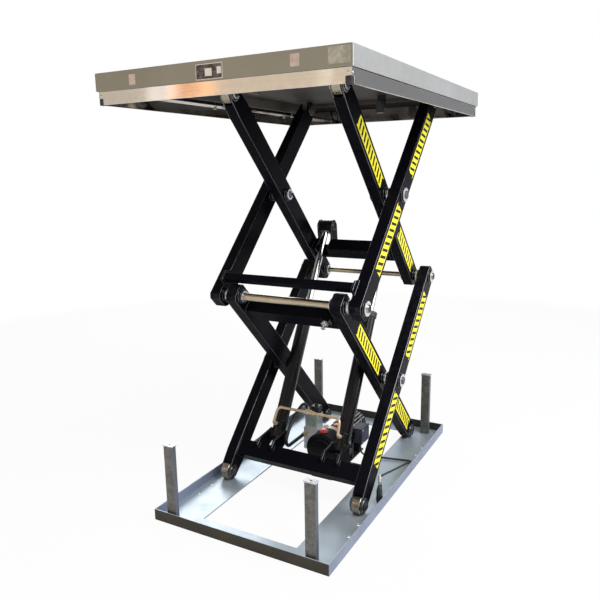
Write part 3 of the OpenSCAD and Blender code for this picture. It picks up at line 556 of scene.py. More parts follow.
# ---------------------------------------------------------------- label films
finish("label_pink", "m_label_pale_red", (0.42, 0.30, 0.245), (0.50, 0.38, 0.32),
       patches=(60, 0.8), rough=(0.38, 0.1, 80), grain=(400, 0.06, 0.0002),
       wear=((0.7, 0.6, 0.56), 0.4))
finish("label_black", "m_label_black", (0.022, 0.018, 0.016), (0.040, 0.034, 0.030),
       patches=(90, 0.8), rough=(0.34, 0.1, 80), metallic=0.2, grain=(400, 0.06, 0.0002),
       wear=((0.3, 0.28, 0.25), 0.4))
finish("label_pale", "m_label_pale", (0.56, 0.53, 0.47), (0.68, 0.65, 0.60),
       patches=(70, 0.8), rough=(0.36, 0.1, 80), metallic=0.3, grain=(400, 0.06, 0.0002),
       wear=((0.8, 0.78, 0.72), 0.4))
finish("label_beige", "m_label_beige_film", (0.25, 0.235, 0.185), (0.31, 0.295, 0.235),
       patches=(25, 0.9), rough=(0.32, 0.12, 60), grain=(160, 0.12, 0.0004),
       wear=((0.66, 0.58, 0.45), 0.4))

# ---------------------------------------------------------------- carried-over CAD nodes
SLOT = {part["node"]: part["material_slot"] for part in frame["record"]["subparts"]}
PLAIN_BEVEL = (0.5, 1)
BEVEL = {  # node: (edge radius in millimetres, segments)
    "base_frame": (1.3, 2), "support_posts": (2.0, 3), "post_caps": (0.8, 2),
    "base_hinge_lugs": (1.4, 2), "base_hinge_pins": (1.5, 2),
    "power_unit_bracket": (1.0, 2), "oil_tank": (1.4, 2), "tank_filler_cap": (1.0, 2),
    "pump_manifold": (1.6, 2), "valve_block": (1.6, 2), "solenoid_coil": (1.8, 3),
    "motor_body": (0.9, 2), "motor_fan_cover": (1.4, 2), "terminal_box": (3.0, 3),
    "motor_fan": (0.5, 1), "lowering_knob": (1.4, 2),
    "lower_inner_frame": (2.2, 3), "lower_outer_frame": (2.2, 3),
    "upper_inner_frame": (2.2, 3), "upper_outer_frame": (1.4, 2),
    "platform_deck": (1.8, 3), "roller_guides": (1.0, 2),
    "platform_hinge_lugs": (1.4, 2), "platform_hinge_pins": (1.5, 2),
    "safety_switches": (1.6, 2), "safety_bar": (0.9, 2), "safety_bar_corners": (1.5, 2),
    "cylinder_barrels": (1.2, 2), "cylinder_glands": (1.6, 2), "cylinder_rods": (1.6, 2),
    "cylinder_rod_pins": (1.2, 2), "cylinder_foot_pins": (1.2, 2),
    "lower_rollers": (1.0, 2), "upper_rollers": (1.0, 2),
    "mid_front_shaft": (1.5, 2), "mid_back_shaft": (1.5, 2),
    "lower_centre_pins": (1.5, 2), "upper_centre_pins": (1.5, 2),
    "travel_stop_bolt": (0.8, 1), "lower_roller_axles": (1.2, 2),
    "upper_roller_axles": (1.2, 2),
}


def finish_node(name, node):
    "give a CAD node its material and rounded edges"
    node.data.materials.clear()
    node.data.materials.append(MAT[SLOT[name]])
    for face in node.data.polygons:
        face.use_smooth = True
    weld = node.modifiers.new("weld", "WELD")
    weld.merge_threshold = 0.00002
    flat = node.modifiers.new("flat", "DECIMATE")
    flat.decimate_type = "DISSOLVE"
    flat.angle_limit = math.radians(0.4)
    radius, segments = BEVEL.get(name, PLAIN_BEVEL)
    edge = node.modifiers.new("edge", "BEVEL")
    edge.width = radius * MM
    edge.segments = segments
    edge.limit_method = "ANGLE"
    edge.angle_limit = math.radians(32)
    edge.use_clamp_overlap = False
    edge.miter_outer = "MITER_ARC"
    edge.harden_normals = False
    node.modifiers.new("tri", "TRIANGULATE").min_vertices = 5
    normals = node.modifiers.new("normals", "WEIGHTED_NORMAL")
    normals.keep_sharp = True
    normals.weight = 80


for name in NODES:
    finish_node(name, NODES[name])


# ---------------------------------------------------------------- mesh helpers
def add_mesh(name, mesh, material, body, matrix=None, smooth=True):
    "turn a bmesh into an object that rides on a body"
    data = bpy.data.meshes.new(name)
    bmesh.ops.remove_doubles(mesh, verts=mesh.verts, dist=1e-7)
    bmesh.ops.recalc_face_normals(mesh, faces=mesh.faces)
    mesh.to_mesh(data)
    mesh.free()
    for face in data.polygons:
        face.use_smooth = smooth
    made = bpy.data.objects.new(name, data)
    scene.collection.objects.link(made)
    if matrix is not None:
        made.matrix_world = matrix
    data.materials.append(MAT[material])
    if smooth:
        made.modifiers.new("normals", "WEIGHTED_NORMAL").weight = 80
    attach(made, body)
    return made


def rounded_box(mesh, low, high, radius, segments):
    verts = bmesh.ops.create_cube(mesh, size=1.0)["verts"]
    for vert in verts:
        for k in range(3):
            vert.co[k] = low[k] if vert.co[k] < 0 else high[k]
    edges = list({edge for vert in verts for edge in vert.link_edges})
    bmesh.ops.bevel(mesh, geom=edges, offset=radius, segments=segments, profile=0.6,
                    affect="EDGES", clamp_overlap=True)


def thin_plate(mesh, x0, x1, z0, z1, thickness, corner):
    "a sheet in the xz plane with rounded corners, thickness towards y"
    corners = [Vector(pair) for pair in ((x0, z0), (x1, z0), (x1, z1), (x0, z1))]
    outline = []
    for i, tip in enumerate(corners):
        start = tip + (corners[i - 1] - tip).normalized() * corner
        end = tip + (corners[(i + 1) % 4] - tip).normalized() * corner
        for k in range(5):
            part = k / 4
            outline.append(start * (1 - part) ** 2 + tip * 2 * part * (1 - part)
                           + end * part * part)
    skin(mesh, [[mesh.verts.new((x, y, z)) for x, z in outline] for y in (0.0, thickness)])


def frame_along(axis):
    "the unit axis and two unit vectors square to it"
    axis = Vector(axis).normalized()
    up = Vector((0, 0, 1)) if abs(axis.z) < 0.9 else Vector((1, 0, 0))
    side = axis.cross(up).normalized()
    return axis, side, axis.cross(side).normalized()


def ring(mesh, centre, side, up, segments, radius, scale):
    "a ring of vertices; radius is a number or a function of the angle"
    made = []
    for i in range(segments):
        angle = 2 * math.pi * i / segments
        size = radius(angle) if callable(radius) else radius
        spoke = side * math.cos(angle) + up * math.sin(angle)
        made.append(mesh.verts.new(centre + spoke * size * scale))
    return made


def skin(mesh, rings, closed=False):
    "join rings with faces; cap the ends, or close the last ring to the first"
    for low, high in zip(rings, rings[1:] + rings[:1] if closed else rings[1:]):
        for i in range(len(low)):
            j = (i + 1) % len(low)
            mesh.faces.new((low[i], low[j], high[j], high[i]))
    if not closed:
        mesh.faces.new(rings[0])
        mesh.faces.new(rings[-1])


def lathe(mesh, start, axis, profile, segments, closed=False):
    "profile: (distance along the axis, radius) in millimetres"
    axis, side, up = frame_along(axis)
    skin(mesh, [ring(mesh, Vector(start) + axis * distance * MM, side, up, segments,
                     radius, MM)
                for distance, radius in profile], closed)


def hexagon(corner, limit=math.inf):
    "a hexagon's radius as a function of the angle, its corners cut at the limit"
    sixth = math.pi / 6

    def radius(angle):
        turn = (angle + sixth) % (2 * sixth) - sixth
        return min(limit, corner * math.cos(sixth) / math.cos(turn))
    return radius


def hex_bolt(mesh, start, axis, flats, height):
    "hexagon head with a chamfered crown, seated at start and standing along the axis"
    corner = flats / math.sqrt(3)
    lathe(mesh, start, axis,
          [(0, hexagon(corner - 0.3)), (0.4, hexagon(corner)),
           (height - 1.2, hexagon(corner, limit=corner * 0.985)),
           (height, flats * 0.5 - 0.4)], 24)


def socket_screw(mesh, start, axis, radius, height):
    "round cap screw with a hexagon socket"
    socket = hexagon(radius * 0.5)
    lathe(mesh, start, axis,
          [(0, radius - 0.2), (0.3, radius), (height - 0.6, radius), (height, radius - 0.6),
           (height, radius * 0.56), (height - 0.3, socket), (height * 0.4, socket)], 24)


def resample(points, step):
    "split each straight run into pieces near the step's length"
    made = [points[0]]
    for start, end in zip(points, points[1:]):
        count = max(1, int(round((end - start).length / step)))
        made += [start.lerp(end, i / count) for i in range(1, count + 1)]
    return made


def spline(points, steps):
    "Catmull-Rom through the points"
    points = [points[0] * 2 - points[1]] + points + [points[-1] * 2 - points[-2]]
    made = []
    for before, start, end, after in zip(points, points[1:], points[2:], points[3:]):
        for k in range(steps):
            t = k / steps
            made.append(0.5 * ((2 * start) + (end - before) * t
                               + (2 * before - 5 * start + 4 * end - after) * t * t
                               + (3 * start - before - 3 * end + after) * t ** 3))
    made.append(points[-2])
    return made


def bend_path(points, radius, steps):
    "straight runs with round bends at the inner points"
    made = [points[0]]
    for before, corner, after in zip(points, points[1:], points[2:]):
        back, ahead = (before - corner).normalized(), (after - corner).normalized()
        angle = math.acos(max(-1, min(1, back.dot(ahead))))
        if angle > math.pi - 0.02:
            made.append(corner)
            continue
        reach = min(radius / math.tan(angle / 2), (before - corner).length * 0.49,
                    (after - corner).length * 0.49)
        fitted = reach * math.tan(angle / 2)
        centre = corner + (back + ahead).normalized() * (fitted / math.sin(angle / 2))
        start = (corner + back * reach) - centre
        end = (corner + ahead * reach) - centre
        sweep = start.angle(end)
        axis = start.cross(end).normalized()
        for k in range(steps + 1):
            made.append(centre + Matrix.Rotation(sweep * k / steps, 3, axis) @ start)
    made.append(points[-1])
    return made


def circle_points(centre, axis, radius, segments):
    _, side, up = frame_along(axis)
    angles = [2 * math.pi * i / segments for i in range(segments + 1)]
    return [centre + (side * math.cos(angle) + up * math.sin(angle)) * radius
            for angle in angles]


def tube(mesh, points, radius, segments, swell=lambda i, angle: 1.0):
    "sweep a round section along points; swell gives a factor on its radius"
    _, side, up = frame_along(points[1] - points[0])
    rings = []
    for i, centre in enumerate(points):
        ahead = points[min(i + 1, len(points) - 1)]
        axis = (ahead - points[max(i - 1, 0)]).normalized()
        side = (side - axis * side.dot(axis)).normalized()
        up = axis.cross(side).normalized()
        rings.append(ring(mesh, centre, side, up, segments,
                          lambda angle: swell(i, angle), radius))
    skin(mesh, rings)


# ---------------------------------------------------------------- hazard tape on the arms
TAPE_WIDTH = 0.050
TAPE_THICKNESS = 0.00028
TAPE_GAP = 0.00006
ARM_FACE_Y = {"outer": 0.313, "inner": 0.240}
TAPES = [  # arm, end of the arm, start and end along it in millimetres
    ("outer", "bottom", 150, 455), ("outer", "top", 622, 935),
    ("inner", "bottom", 57, 298), ("inner", "top", 578, 884),
]


def add_tape(level, arm, end, start, stop):
    "a strip on the outward face of both arms of a pair"
    body = f"{level}_{arm}"
    for side, tag in ((-1, "near"), (1, "far")):
        mesh = bmesh.new()
        thin_plate(mesh, start * MM, stop * MM, -TAPE_WIDTH / 2, TAPE_WIDTH / 2,
                   thickness=side * TAPE_THICKNESS, corner=0.0012)
        shift = Matrix.Translation((0, side * (ARM_FACE_Y[arm] + TAPE_GAP), 0))
        add_mesh(f"hazard_tape_{body}_{end}_{tag}", mesh,
                 "hazard" if arm == "outer" else "hazard_mirrored", body,
                 AXES[body] @ shift, smooth=False)


for level in ("lower", "upper"):
    for row in TAPES:
        add_tape(level, *row)

# ---------------------------------------------------------------- blank labels, front edge
# name, material, y from and to, depth of the bottom and top edge below the deck's top
# (millimetres), then thickness, lift off the face and corner radius (metres)
LABELS = [
    ("rating_plate_frame", "label_pale", -49, 45, 53, 10, 0.0005, 0.00002, 0.0015),
    ("rating_plate_face", "label_black", -47, 43, 51, 12, 0.0003, 0.0005, 0.0015),
    ("rating_plate_field_a", "label_pale", -12, 12, 44, 23, 0.00012, 0.0008, 0.0004),
    ("rating_plate_field_b", "label_pale", -45, -30, 40, 21, 0.00012, 0.0008, 0.0004),
    ("edge_label_far", "label_pink", 278, 304, 46, 15, 0.0003, 0.00002, 0.0015),
    ("edge_label_near", "label_pink", -296, -268, 43, 11, 0.0003, 0.00002, 0.0015),
    ("edge_film_corner", "label_beige", -443, -380, 47, 5, 0.0003, 0.00002, 0.0015),
]
FRONT_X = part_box("platform_deck")[0].x
for name, material, y0, y1, bottom, top, thickness, lift, corner in LABELS:
    mesh = bmesh.new()
    thin_plate(mesh, y0 * MM, y1 * MM, (DECK_MM - bottom) * MM, (DECK_MM - top) * MM,
               thickness, corner)
    # local x runs along the table's y, local y points out of the face
    turn = Matrix(((0, -1, 0, FRONT_X - lift), (1, 0, 0, 0), (0, 0, 1, 0), (0, 0, 0, 1)))
    add_mesh(name, mesh, material, "platform", turn, smooth=False)

# ---------------------------------------------------------------- weld beads
BEAD_STEP = 0.0016
RIPPLE_PITCH = 0.0042
WIDE_BEAD, BEAD, THIN_BEAD = 0.0028, 0.0022, 0.0020
INNER_BEAM_Y, OUTER_BEAM_Y = 194.6, 267.6
BASE_LUG_Y, PLATFORM_LUG_Y = 217.5, 290.5
LUG_HALF = (34, 12)


def weld_bead(mesh, points, radius, seed):
    "a rippled fillet bead along points, tapered at both ends"
    path = resample(points, BEAD_STEP)

    def swell(i, angle):
        ripple = 0.10 * math.sin(i * BEAD_STEP / RIPPLE_PITCH * 2 * math.pi)
        place = Vector((i * 0.13 + seed * 7.3, math.cos(angle), math.sin(angle) + seed))
        taper = min(1.0, 0.35 + 0.25 * min(i, len(path) - 1 - i))
        return (1.0 + ripple + 0.16 * noise.noise(place)) * taper
    tube(mesh, path, radius, 8, swell)


def arm_bead(mesh, arm, start, end, radius, seed):
    weld_bead(mesh, [local(arm, *start), local(arm, *end)], radius, seed)


def beam_beads(mesh, arm, y, middle, half):
    "four beads round a cross beam's end, which is centred at middle along the arm"
    short = half - 2
    for z in (-half, half):
        arm_bead(mesh, arm, (middle - short, y, z), (middle + short, y, z), WIDE_BEAD, z)
    for x in (middle - half, middle + half):
        arm_bead(mesh, arm, (x, y, -short), (x, y, short), WIDE_BEAD, x)


def around(x, y, half_x, half_y, z):
    "a closed rectangle at height z"
    return [point(x + i * half_x, y + j * half_y, z)
            for i, j in ((-1, -1), (1, -1), (1, 1), (-1, 1), (-1, -1))]


# bottom beam to the outer arms, and the cylinder foot plates to the beam
mesh = bmesh.new()
for side in SIDES:
    beam_beads(mesh, "lower_outer", side * OUTER_BEAM_Y, middle=100, half=32)
    for plate in (-33.2, 33.2):
        for face in (-4.5, 4.5):
            y = side * CYLINDER_Y + plate + face
            arm_bead(mesh, "lower_outer", (132.4, y, -29), (132.4, y, 29), BEAD, y)
            arm_bead(mesh, "lower_outer", (114, y, 32.4), (131, y, 32.4), BEAD, y + 3)
add_mesh("weld_beads_lower_outer", mesh, "weld", "lower_outer")

# cross beam of the lower inner arms
mesh = bmesh.new()
for side in SIDES:
    beam_beads(mesh, "lower_inner", side * INNER_BEAM_Y, middle=ARM_LENGTH * 1000 - 82,
               half=30)
add_mesh("weld_beads_lower_inner", mesh, "weld", "lower_inner")

# cross beam of the upper inner arms, with beads across it either side of each cylinder
mesh = bmesh.new()
for side in SIDES:
    beam_beads(mesh, "upper_inner", side * INNER_BEAM_Y, middle=165, half=30)
    for plate in (-36.5, 36.5):
        y = side * CYLINDER_Y + plate
        arm_bead(mesh, "upper_inner", (141, y, 30.3), (193, y, 30.3), BEAD, y)
add_mesh("weld_beads_upper_inner", mesh, "weld", "upper_inner")

# short beads near the roller end of the upper outer arms' local x
mesh = bmesh.new()
for side in SIDES:
    y = side * OUTER_BEAM_Y
    for z in (36, 62):
        arm_bead(mesh, "upper_outer", (36, y, z), (60, y, z), BEAD, z)
    y = side * 271.9
    arm_bead(mesh, "upper_outer", (26, y, 39.4), (88, y, 39.4), BEAD, 9)
add_mesh("weld_beads_upper_outer", mesh, "weld", "upper_outer")

# support posts' feet and the base frame's inside corners
mesh = bmesh.new()
for x in (-594, 555):
    for y in (-284, 284):
        weld_bead(mesh, around(x, y, 10, 20, z=5.4), BEAD, x + y)
CORNER_INSET = 0.0052
base_low, base_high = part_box("base_frame")
for x in (base_low.x, base_high.x):
    for y in (base_low.y, base_high.y):
        inside_x = x - math.copysign(CORNER_INSET, x)
        inside_y = y - math.copysign(CORNER_INSET, y)
        weld_bead(mesh, [Vector((inside_x, inside_y, 0.006)),
                         Vector((inside_x, inside_y, base_high.z - 0.002))],
                  THIN_BEAD, x * 9 + y)
add_mesh("weld_beads_base", mesh, "weld_grey", "base")

# hinge lugs on the base
mesh = bmesh.new()
for side in SIDES:
    y = side * BASE_LUG_Y
    weld_bead(mesh, around(HINGE_X_MM, y, *LUG_HALF, z=5.3), BEAD, y)
    for edge, seed in ((y - 12, y + 1), (y + 12, y + 2)):
        weld_bead(mesh, [point(HINGE_X_MM - 26, edge, 11.3),
                         point(HINGE_X_MM + 26, edge, 11.3)], BEAD, seed)
add_mesh("weld_beads_base_lugs", mesh, "weld_grey", "base")

# hinge lugs under the deck, and rows of short beads along x
mesh = bmesh.new()
z = DECK_MM - 5.3
for side in SIDES:
    y = side * PLATFORM_LUG_Y
    weld_bead(mesh, around(HINGE_X_MM, y, *LUG_HALF, z=z), BEAD, y)
    for row in (178, 185, 250, 257):
        for k in range(8):
            x = -560 + k * 60
            weld_bead(mesh, [point(x, side * row, z), point(x + 22, side * row, z)],
                      THIN_BEAD, k + row)
add_mesh("weld_beads_platform", mesh, "weld_dark", "platform")

# rings round the cylinders' foot ends and round their ports
PORT_X = 44
mesh = bmesh.new()
for side in SIDES:
    centre = local("cylinder_barrels", 60, side * CYLINDER_Y, 0)
    weld_bead(mesh, circle_points(centre, CYLINDER_ALONG, 0.0286, 90), 0.0018, side)
    centre = local("cylinder_barrels", PORT_X, side * CYLINDER_Y, 28.9)
    weld_bead(mesh, circle_points(centre, CYLINDER_ACROSS, 0.0112, 40), 0.0014, side + 4)
add_mesh("weld_beads_barrels", mesh, "weld", "cylinder_barrels")

# ---------------------------------------------------------------- wiper seals in the glands
SEAL_X = 571.1
SEAL_SECTION = [(0, 14.3), (0, 19.5), (1.4, 20.0), (3.2, 18.6), (4.4, 15.4), (4.4, 14.3)]
mesh = bmesh.new()
for side in SIDES:
    lathe(mesh, local("cylinder_barrels", SEAL_X, side * CYLINDER_Y, 0), CYLINDER_ALONG,
          SEAL_SECTION, 40, closed=True)
add_mesh("wiper_seals", mesh, "cable_rubber", "cylinder_barrels")

# ---------------------------------------------------------------- hydraulic pipe
# a bent pipe joins the two ports; the far half's x, y, z in the cylinder's axes
PIPE_X, PIPE_Z = 110, 62
PIPE_HALF = [(PORT_X, CYLINDER_Y, 50), (PORT_X, CYLINDER_Y, 61),
             (PIPE_X, 141, PIPE_Z), (PIPE_X, 60, PIPE_Z)]
run = PIPE_HALF + [(x, -y, z) for x, y, z in reversed(PIPE_HALF)]
mesh = bmesh.new()
path = bend_path([local("cylinder_barrels", *place) for place in run], 0.020, 12)
tube(mesh, path, 0.0056, 24)
add_mesh("hydraulic_pipe_bent", mesh, "yellow_zinc", "cylinder_barrels")

# nuts at the ports and a tee in the middle
mesh = bmesh.new()
for y in (-CYLINDER_Y, CYLINDER_Y):
    hex_bolt(mesh, local("cylinder_barrels", PORT_X, y, 38.4), CYLINDER_ACROSS, 17, 10)
    lathe(mesh, local("cylinder_barrels", PORT_X, y, 47.6), CYLINDER_ACROSS,
          [(0, 7.2), (1.5, 7.6), (6, 7.2), (8, 5.3)], 24)
hex_bolt(mesh, local("cylinder_barrels", PIPE_X, -24, PIPE_Z), (0, 1, 0), 17, 9)
hex_bolt(mesh, local("cylinder_barrels", PIPE_X, 8, PIPE_Z), (0, -1, 0), 17, 9)
lathe(mesh, local("cylinder_barrels", PIPE_X, -17, PIPE_Z), (0, 1, 0),
      [(0, 6.8), (1, 7.4), (17, 7.4), (18, 6.8)], 24)
lathe(mesh, local("cylinder_barrels", PIPE_X, -8, PIPE_Z), CYLINDER_ALONG,
      [(0, 6.2), (10, 6.2), (11, 5.6)], 20)
fittings = add_mesh("hydraulic_pipe_fittings", mesh, "yellow_zinc", "cylinder_barrels")
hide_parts("hydraulic_pipe")

# ---------------------------------------------------------------- supply hose
HOSE_Y = 86.0
HOSE_TOP = (66, 228)  # x, z where the bends start
HOSE_BENDS = [  # radius in millimetres, start and end heading in degrees, steps
    (40, 90, 195, 16), (230, 195, 235, 16), (28, 235, 360, 18),
]


def arc(start, radius, heading, end, steps):
    "points (x, z) on an arc that leaves start at a heading and turns to the end heading"
    centre_x = start[0] - radius * math.sin(math.radians(heading))
    centre_z = start[1] + radius * math.cos(math.radians(heading))
    angles = [math.radians(heading + (end - heading) * i / steps) for i in range(steps + 1)]
    return [(centre_x + radius * math.sin(angle), centre_z - radius * math.cos(angle))
            for angle in angles]


hose = [HOSE_TOP]
for row in HOSE_BENDS:
    hose += arc(hose[-1], *row)[1:]
HOSE_END_Z = hose[-1][1]
hose = [(66, 224)] + hose + [(x, HOSE_END_Z) for x in (-40, 0, 36)]
mesh = bmesh.new()
tube(mesh, resample([point(x, HOSE_Y, z) for x, z in hose], 0.004), 0.007, 24,
     lambda i, angle: 1.0 + 0.012 * math.sin(angle * 6 + i * 1.9))
made = add_mesh("supply_hose_smooth", mesh, "hose_rubber", "base")
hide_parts("supply_hose")

# a nut and a crimped sleeve at each end
SLEEVE = [(0, 6.6), (1.0, 7.2), (3.0, 7.2), (4.0, 8.6), (6.5, 8.8), (7.2, 8.2), (9.4, 8.2),
          (10.1, 8.8), (13, 8.8), (13.7, 8.2), (16, 8.2), (17, 8.7), (19.5, 8.7), (20.4, 7.3)]
mesh = bmesh.new()
for start, axis in ((point(66, HOSE_Y, 214.1), Vector((0, 0, 1))),
                    (point(48.9, HOSE_Y, HOSE_END_Z), Vector((-1, 0, 0)))):
    hex_bolt(mesh, start, axis, 17, 9)
    lathe(mesh, start + axis * 0.0088, axis, SLEEVE, 28)
made = add_mesh("hose_end_fittings", mesh, "yellow_zinc", "base")
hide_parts("hose_fittings")

# ---------------------------------------------------------------- power cable and its plug
PLUG_X, PLUG_Y = -149, -335
CABLE = [  # x, y, z
    (186, -112, 86), (186, -112, 40), (189, -126, 18), (198, -170, 13), (212, -230, 12),
    (226, -296, 12), (226, -324, 14), (200, -334, 23), (140, -335, 41), (60, -335, 62),
    (-20, -335, 83), (-90, -335, 102), (-130, -335, 112), (-148, -335, 116),
]
mesh = bmesh.new()
tube(mesh, spline([point(*place) for place in CABLE], 9), 0.004, 16)
made = add_mesh("power_cable_run", mesh, "cable_rubber", "base")
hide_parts("power_cable")

# two thin leads loop from the gland around the plug
LEAD = [  # share of the sideways reach, offset towards -y, height
    (0.15, 0, 98), (0.7, 2, 84), (1, 3, 60), (0.95, 3, 34), (0.5, 2, 13), (0, 0, 9),
]
mesh = bmesh.new()
for reach in (-19, 15):
    loop = [point(PLUG_X + reach * share, PLUG_Y - offset, z) for share, offset, z in LEAD]
    tube(mesh, spline(loop, 9), 0.0018, 10)
add_mesh("plug_leads", mesh, "cable_rubber", "base")

mesh = bmesh.new()
lathe(mesh, point(PLUG_X, PLUG_Y, 96), (0, 0, 1),
      [(0, 3.4), (1, 4.6), (8, 5.0), (9, 4.4), (11, 4.4), (12, 5.6), (20, 5.8), (21, 4.8),
       (28, 4.6), (30, 3.6)], 28)
hex_bolt(mesh, point(PLUG_X, PLUG_Y, 109), (0, 0, 1), 11, 7)
add_mesh("plug_gland", mesh, "cast_alloy", "base")

mesh = bmesh.new()
lathe(mesh, point(PLUG_X, PLUG_Y, 5.3), (0, 0, 1),
      [(0, 7.0), (3, 10.5), (14, 11.4), (18, 12.6), (24, 13.0), (30, 12.6), (34, 11.6),
       (56, 11.4), (66, 9.0), (78, 5.0)], 36)
made = add_mesh("plug_body", mesh, "connector_plastic", "base")
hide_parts("cable_connector")

# ---------------------------------------------------------------- power unit fixings
mesh = bmesh.new()
# terminal box lid screws
for x in (147, 209):
    for z in (-27, 27):
        socket_screw(mesh, point(x, MOTOR_Y - 94.0, MOTOR_Z + z), (0, -1, 0), 3.2, 3.2)
# motor flange screws
for k in range(4):
    angle = math.radians(45 + 90 * k)
    place = point(128.1, MOTOR_Y + 51 * math.cos(angle), MOTOR_Z + 51 * math.sin(angle))
    socket_screw(mesh, place, (1, 0, 0), 4.0, 4.6)
# manifold plugs
for y, z in ((78, 80), (78, 112), (40, 80), (24, 128)):
    lathe(mesh, point(49.0, y, z), (-1, 0, 0),
          [(0, 7.5), (0.6, 8), (2.6, 8), (3.2, 7.4), (3.2, 4), (1.8, 3.6)], 24)
# valve screws
for x, y in ((63, 40), (105, 86), (63, 66)):
    socket_screw(mesh, point(x, y, 214.0), (0, 0, 1), 3.4, 3.6)
add_mesh("power_unit_screws", mesh, "screw_zinc", "base")

mesh = bmesh.new()
rounded_box(mesh, point(138.6, MOTOR_Y - 94.4, MOTOR_Z - 35.4),
            point(217.4, MOTOR_Y - 90.6, MOTOR_Z + 35.4), radius=0.0014, segments=2)
add_mesh("terminal_box_lid", mesh, "terminal_plastic", "base")

# cooling ribs over the motor's top and far side and part of its near side
RIB_REACH = 57.4
mesh = bmesh.new()
for k in range(-3, 5):
    angle = math.radians(90 + 13 * k)
    y = MOTOR_Y + math.cos(angle) * RIB_REACH
    z = MOTOR_Z + math.sin(angle) * RIB_REACH
    tube(mesh, [point(x, y, z) for x in (132, 200, 271)], 0.0027, 8)
add_mesh("motor_ribs", mesh, "rib_alloy", "base")

# fan cover grille
mesh = bmesh.new()
for radius in (18, 25, 32, 39):
    centre = point(275.6, MOTOR_Y, MOTOR_Z)
    tube(mesh, circle_points(centre, (1, 0, 0), radius * MM, 60), 0.0010, 8)
add_mesh("fan_guard_rings", mesh, "cover_paint", "base")

# bands round the tank
mesh = bmesh.new()
for x in (-50, 12):
    lathe(mesh, point(x - 3, MOTOR_Y, MOTOR_Z), (1, 0, 0),
          [(0, 70.0), (0.6, 71.2), (5.4, 71.2), (6, 70.0)], 72)
add_mesh("tank_rim_bands", mesh, "tank_paint", "base")

# ---------------------------------------------------------------- safety bar rivets
RIVET = [(0, 3.6), (0.5, 3.9), (1.3, 3.2), (1.7, 1.6)]
mesh = bmesh.new()
for end in SIDES:
    for side in SIDES:
        for z in (DECK_MM - 47, DECK_MM - 69):
            lathe(mesh, point(end * 634, side * 443.0, z), (0, side, 0), RIVET, 20)
            lathe(mesh, point(end * 643.0, side * 434, z), (end, 0, 0), RIVET, 20)
add_mesh("safety_bar_rivets", mesh, "bar_aluminium", "safety_bar")


# ---------------------------------------------------------------- floor
def floor_material():
    "matt near the table, glowing white further out and mostly white to the camera"
    material, tree, shader = new_material("m_floor")
    for socket, value in (("Base Color", (0.80, 0.80, 0.79)), ("Roughness", 0.75),
                          ("Specular IOR Level", 0.2)):
        feed(tree, shader.inputs[socket], value)
    glow = tree.nodes.new("ShaderNodeEmission")
    feed(tree, glow.inputs["Color"], (1.0, 1.0, 1.0))
    distance = tree.nodes.new("ShaderNodeVectorMath")
    distance.operation = "LENGTH"
    tree.links.new(tree.nodes.new("ShaderNodeTexCoord").outputs["Object"],
                   distance.inputs[0])
    far = step_mask(tree, distance.outputs["Value"], 1.2, 4.2)
    # the camera sees a brighter floor than the table does, with the contact shadow kept
    camera_ray = tree.nodes.new("ShaderNodeLightPath").outputs["Is Camera Ray"]
    blend = tree.nodes.new("ShaderNodeMixShader")
    feed(tree, blend.inputs[0], math_node(tree, "MAXIMUM", far, times(tree, camera_ray, 0.93)))
    tree.links.new(shader.outputs[0], blend.inputs[1])
    tree.links.new(glow.outputs[0], blend.inputs[2])
    tree.links.new(blend.outputs[0], tree.nodes["Material Output"].inputs["Surface"])
    return material


mesh = bmesh.new()
bmesh.ops.create_circle(mesh, cap_ends=True, radius=40, segments=96)
data = bpy.data.meshes.new("floor")
mesh.to_mesh(data)
mesh.free()
floor = bpy.data.objects.new("floor", data)
scene.collection.objects.link(floor)
floor.location.z = -0.0006
data.materials.append(floor_material())

# ---------------------------------------------------------------- world
# white to the camera, a dim cool fill to everything else
world = bpy.data.worlds.new("studio")
scene.world = world
world.use_nodes = True
tree = world.node_tree
seen = tree.nodes["Background"]
fill = tree.nodes.new("ShaderNodeBackground")
for node, colour, strength in ((seen, (1.0, 1.0, 1.0), 1.0), (fill, (0.90, 0.93, 1.0), 0.34)):
    feed(tree, node.inputs["Color"], colour)
    feed(tree, node.inputs["Strength"], strength)
blend = tree.nodes.new("ShaderNodeMixShader")
camera_ray = tree.nodes.new("ShaderNodeLightPath").outputs["Is Camera Ray"]
for i, source in enumerate((camera_ray, fill.outputs[0], seen.outputs[0])):
    tree.links.new(source, blend.inputs[i])
tree.links.new(blend.outputs[0], tree.nodes["World Output"].inputs["Surface"])

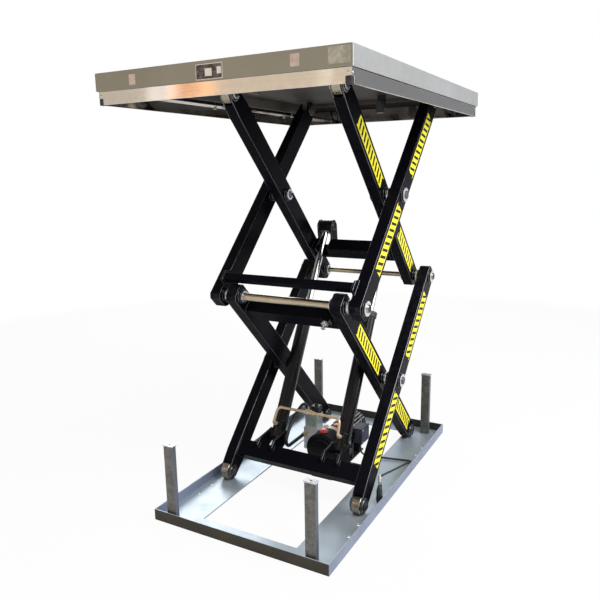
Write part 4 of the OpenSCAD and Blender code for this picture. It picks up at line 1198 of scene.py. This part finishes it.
# ---------------------------------------------------------------- lights
# name, place, target, width, height, power, colour;
# the cards are mirrored in the safety bar's front face
LIGHTS = [
    ("key_top", (-1.2, -2.4, 4.2), (0, 0, 0.7), 3.0, 3.0, 150, (1, 0.99, 0.97)),
    ("side_cool", (1.2, -4.2, 1.8), (0, 0, 0.9), 2.4, 2.4, 75, (0.86, 0.93, 1.0)),
    ("front_warm", (-3.6, 1.9, 1.9), (0, 0, 1.0), 1.2, 2.2, 20, (1.0, 0.84, 0.64)),
    ("back_rim", (3.2, 2.6, 2.6), (0, 0, 0.8), 2.4, 2.4, 60, (1, 1, 1)),
    ("edge_strip", (-0.2, -3.3, 3.6), (0, 0, 0.8), 0.7, 3.2, 45, (1, 1, 1)),
    ("card_tan", (-3.75, 1.22, 1.95), (-0.6, -0.1, 1.48), 2.0, 1.2, 4.6, (1.0, 0.74, 0.44)),
    ("card_tan_far", (-3.10, 2.76, 1.854), (-0.65, 0.34, 1.476), 0.62, 1.3, 1.25,
     (1.0, 0.80, 0.52)),
    ("card_white", (-3.10, 2.305, 1.854), (-0.65, 0.18, 1.476), 0.22, 1.3, 0.70, (1, 1, 1)),
    ("card_orange", (-3.09, 2.010, 1.854), (-0.65, 0.07, 1.476), 0.36, 1.3, 1.35,
     (1.0, 0.36, 0.0)),
    ("card_pale", (-3.10, 0.860, 1.854), (-0.65, -0.37, 1.476), 0.09, 1.3, 0.12,
     (0.84, 1.0, 0.82)),
]
UNREFLECTED = "front_warm"
for name, place, target, width, height, power, colour in LIGHTS:
    light = bpy.data.lights.new(name, "AREA")
    light.energy = power
    light.color = colour
    light.shape = "RECTANGLE"
    light.size = width
    light.size_y = height
    lamp = bpy.data.objects.new(name, light)
    lamp.location = place
    aim = Vector(target) - Vector(place)
    lamp.rotation_euler = aim.to_track_quat("-Z", "Y").to_euler()
    scene.collection.objects.link(lamp)
    lamp.visible_glossy = name != UNREFLECTED

# ---------------------------------------------------------------- camera
CAMERA_PLACE = (-2.16039, -1.13005, 1.24289)
CAMERA_AIM = Vector((0.85473, 0.47738, -0.20381)).normalized()
CAMERA_ROLL = math.radians(-0.94)
lens = bpy.data.cameras.new("camera")
lens.sensor_fit = "HORIZONTAL"
lens.sensor_width = 36
lens.lens = 37.398
lens.clip_end = 200
camera = bpy.data.objects.new("camera", lens)
level_right = CAMERA_AIM.cross(Vector((0, 0, 1))).normalized()
level_up = level_right.cross(CAMERA_AIM)
cos, sin = math.cos(CAMERA_ROLL), math.sin(CAMERA_ROLL)
right = cos * level_right + sin * level_up
up = -sin * level_right + cos * level_up
turn = Matrix((right, up, -CAMERA_AIM)).transposed().to_4x4()
camera.matrix_world = Matrix.Translation(CAMERA_PLACE) @ turn
scene.collection.objects.link(camera)
scene.camera = camera
scene.view_settings.view_transform = "Standard"

bpy.context.view_layer.update()
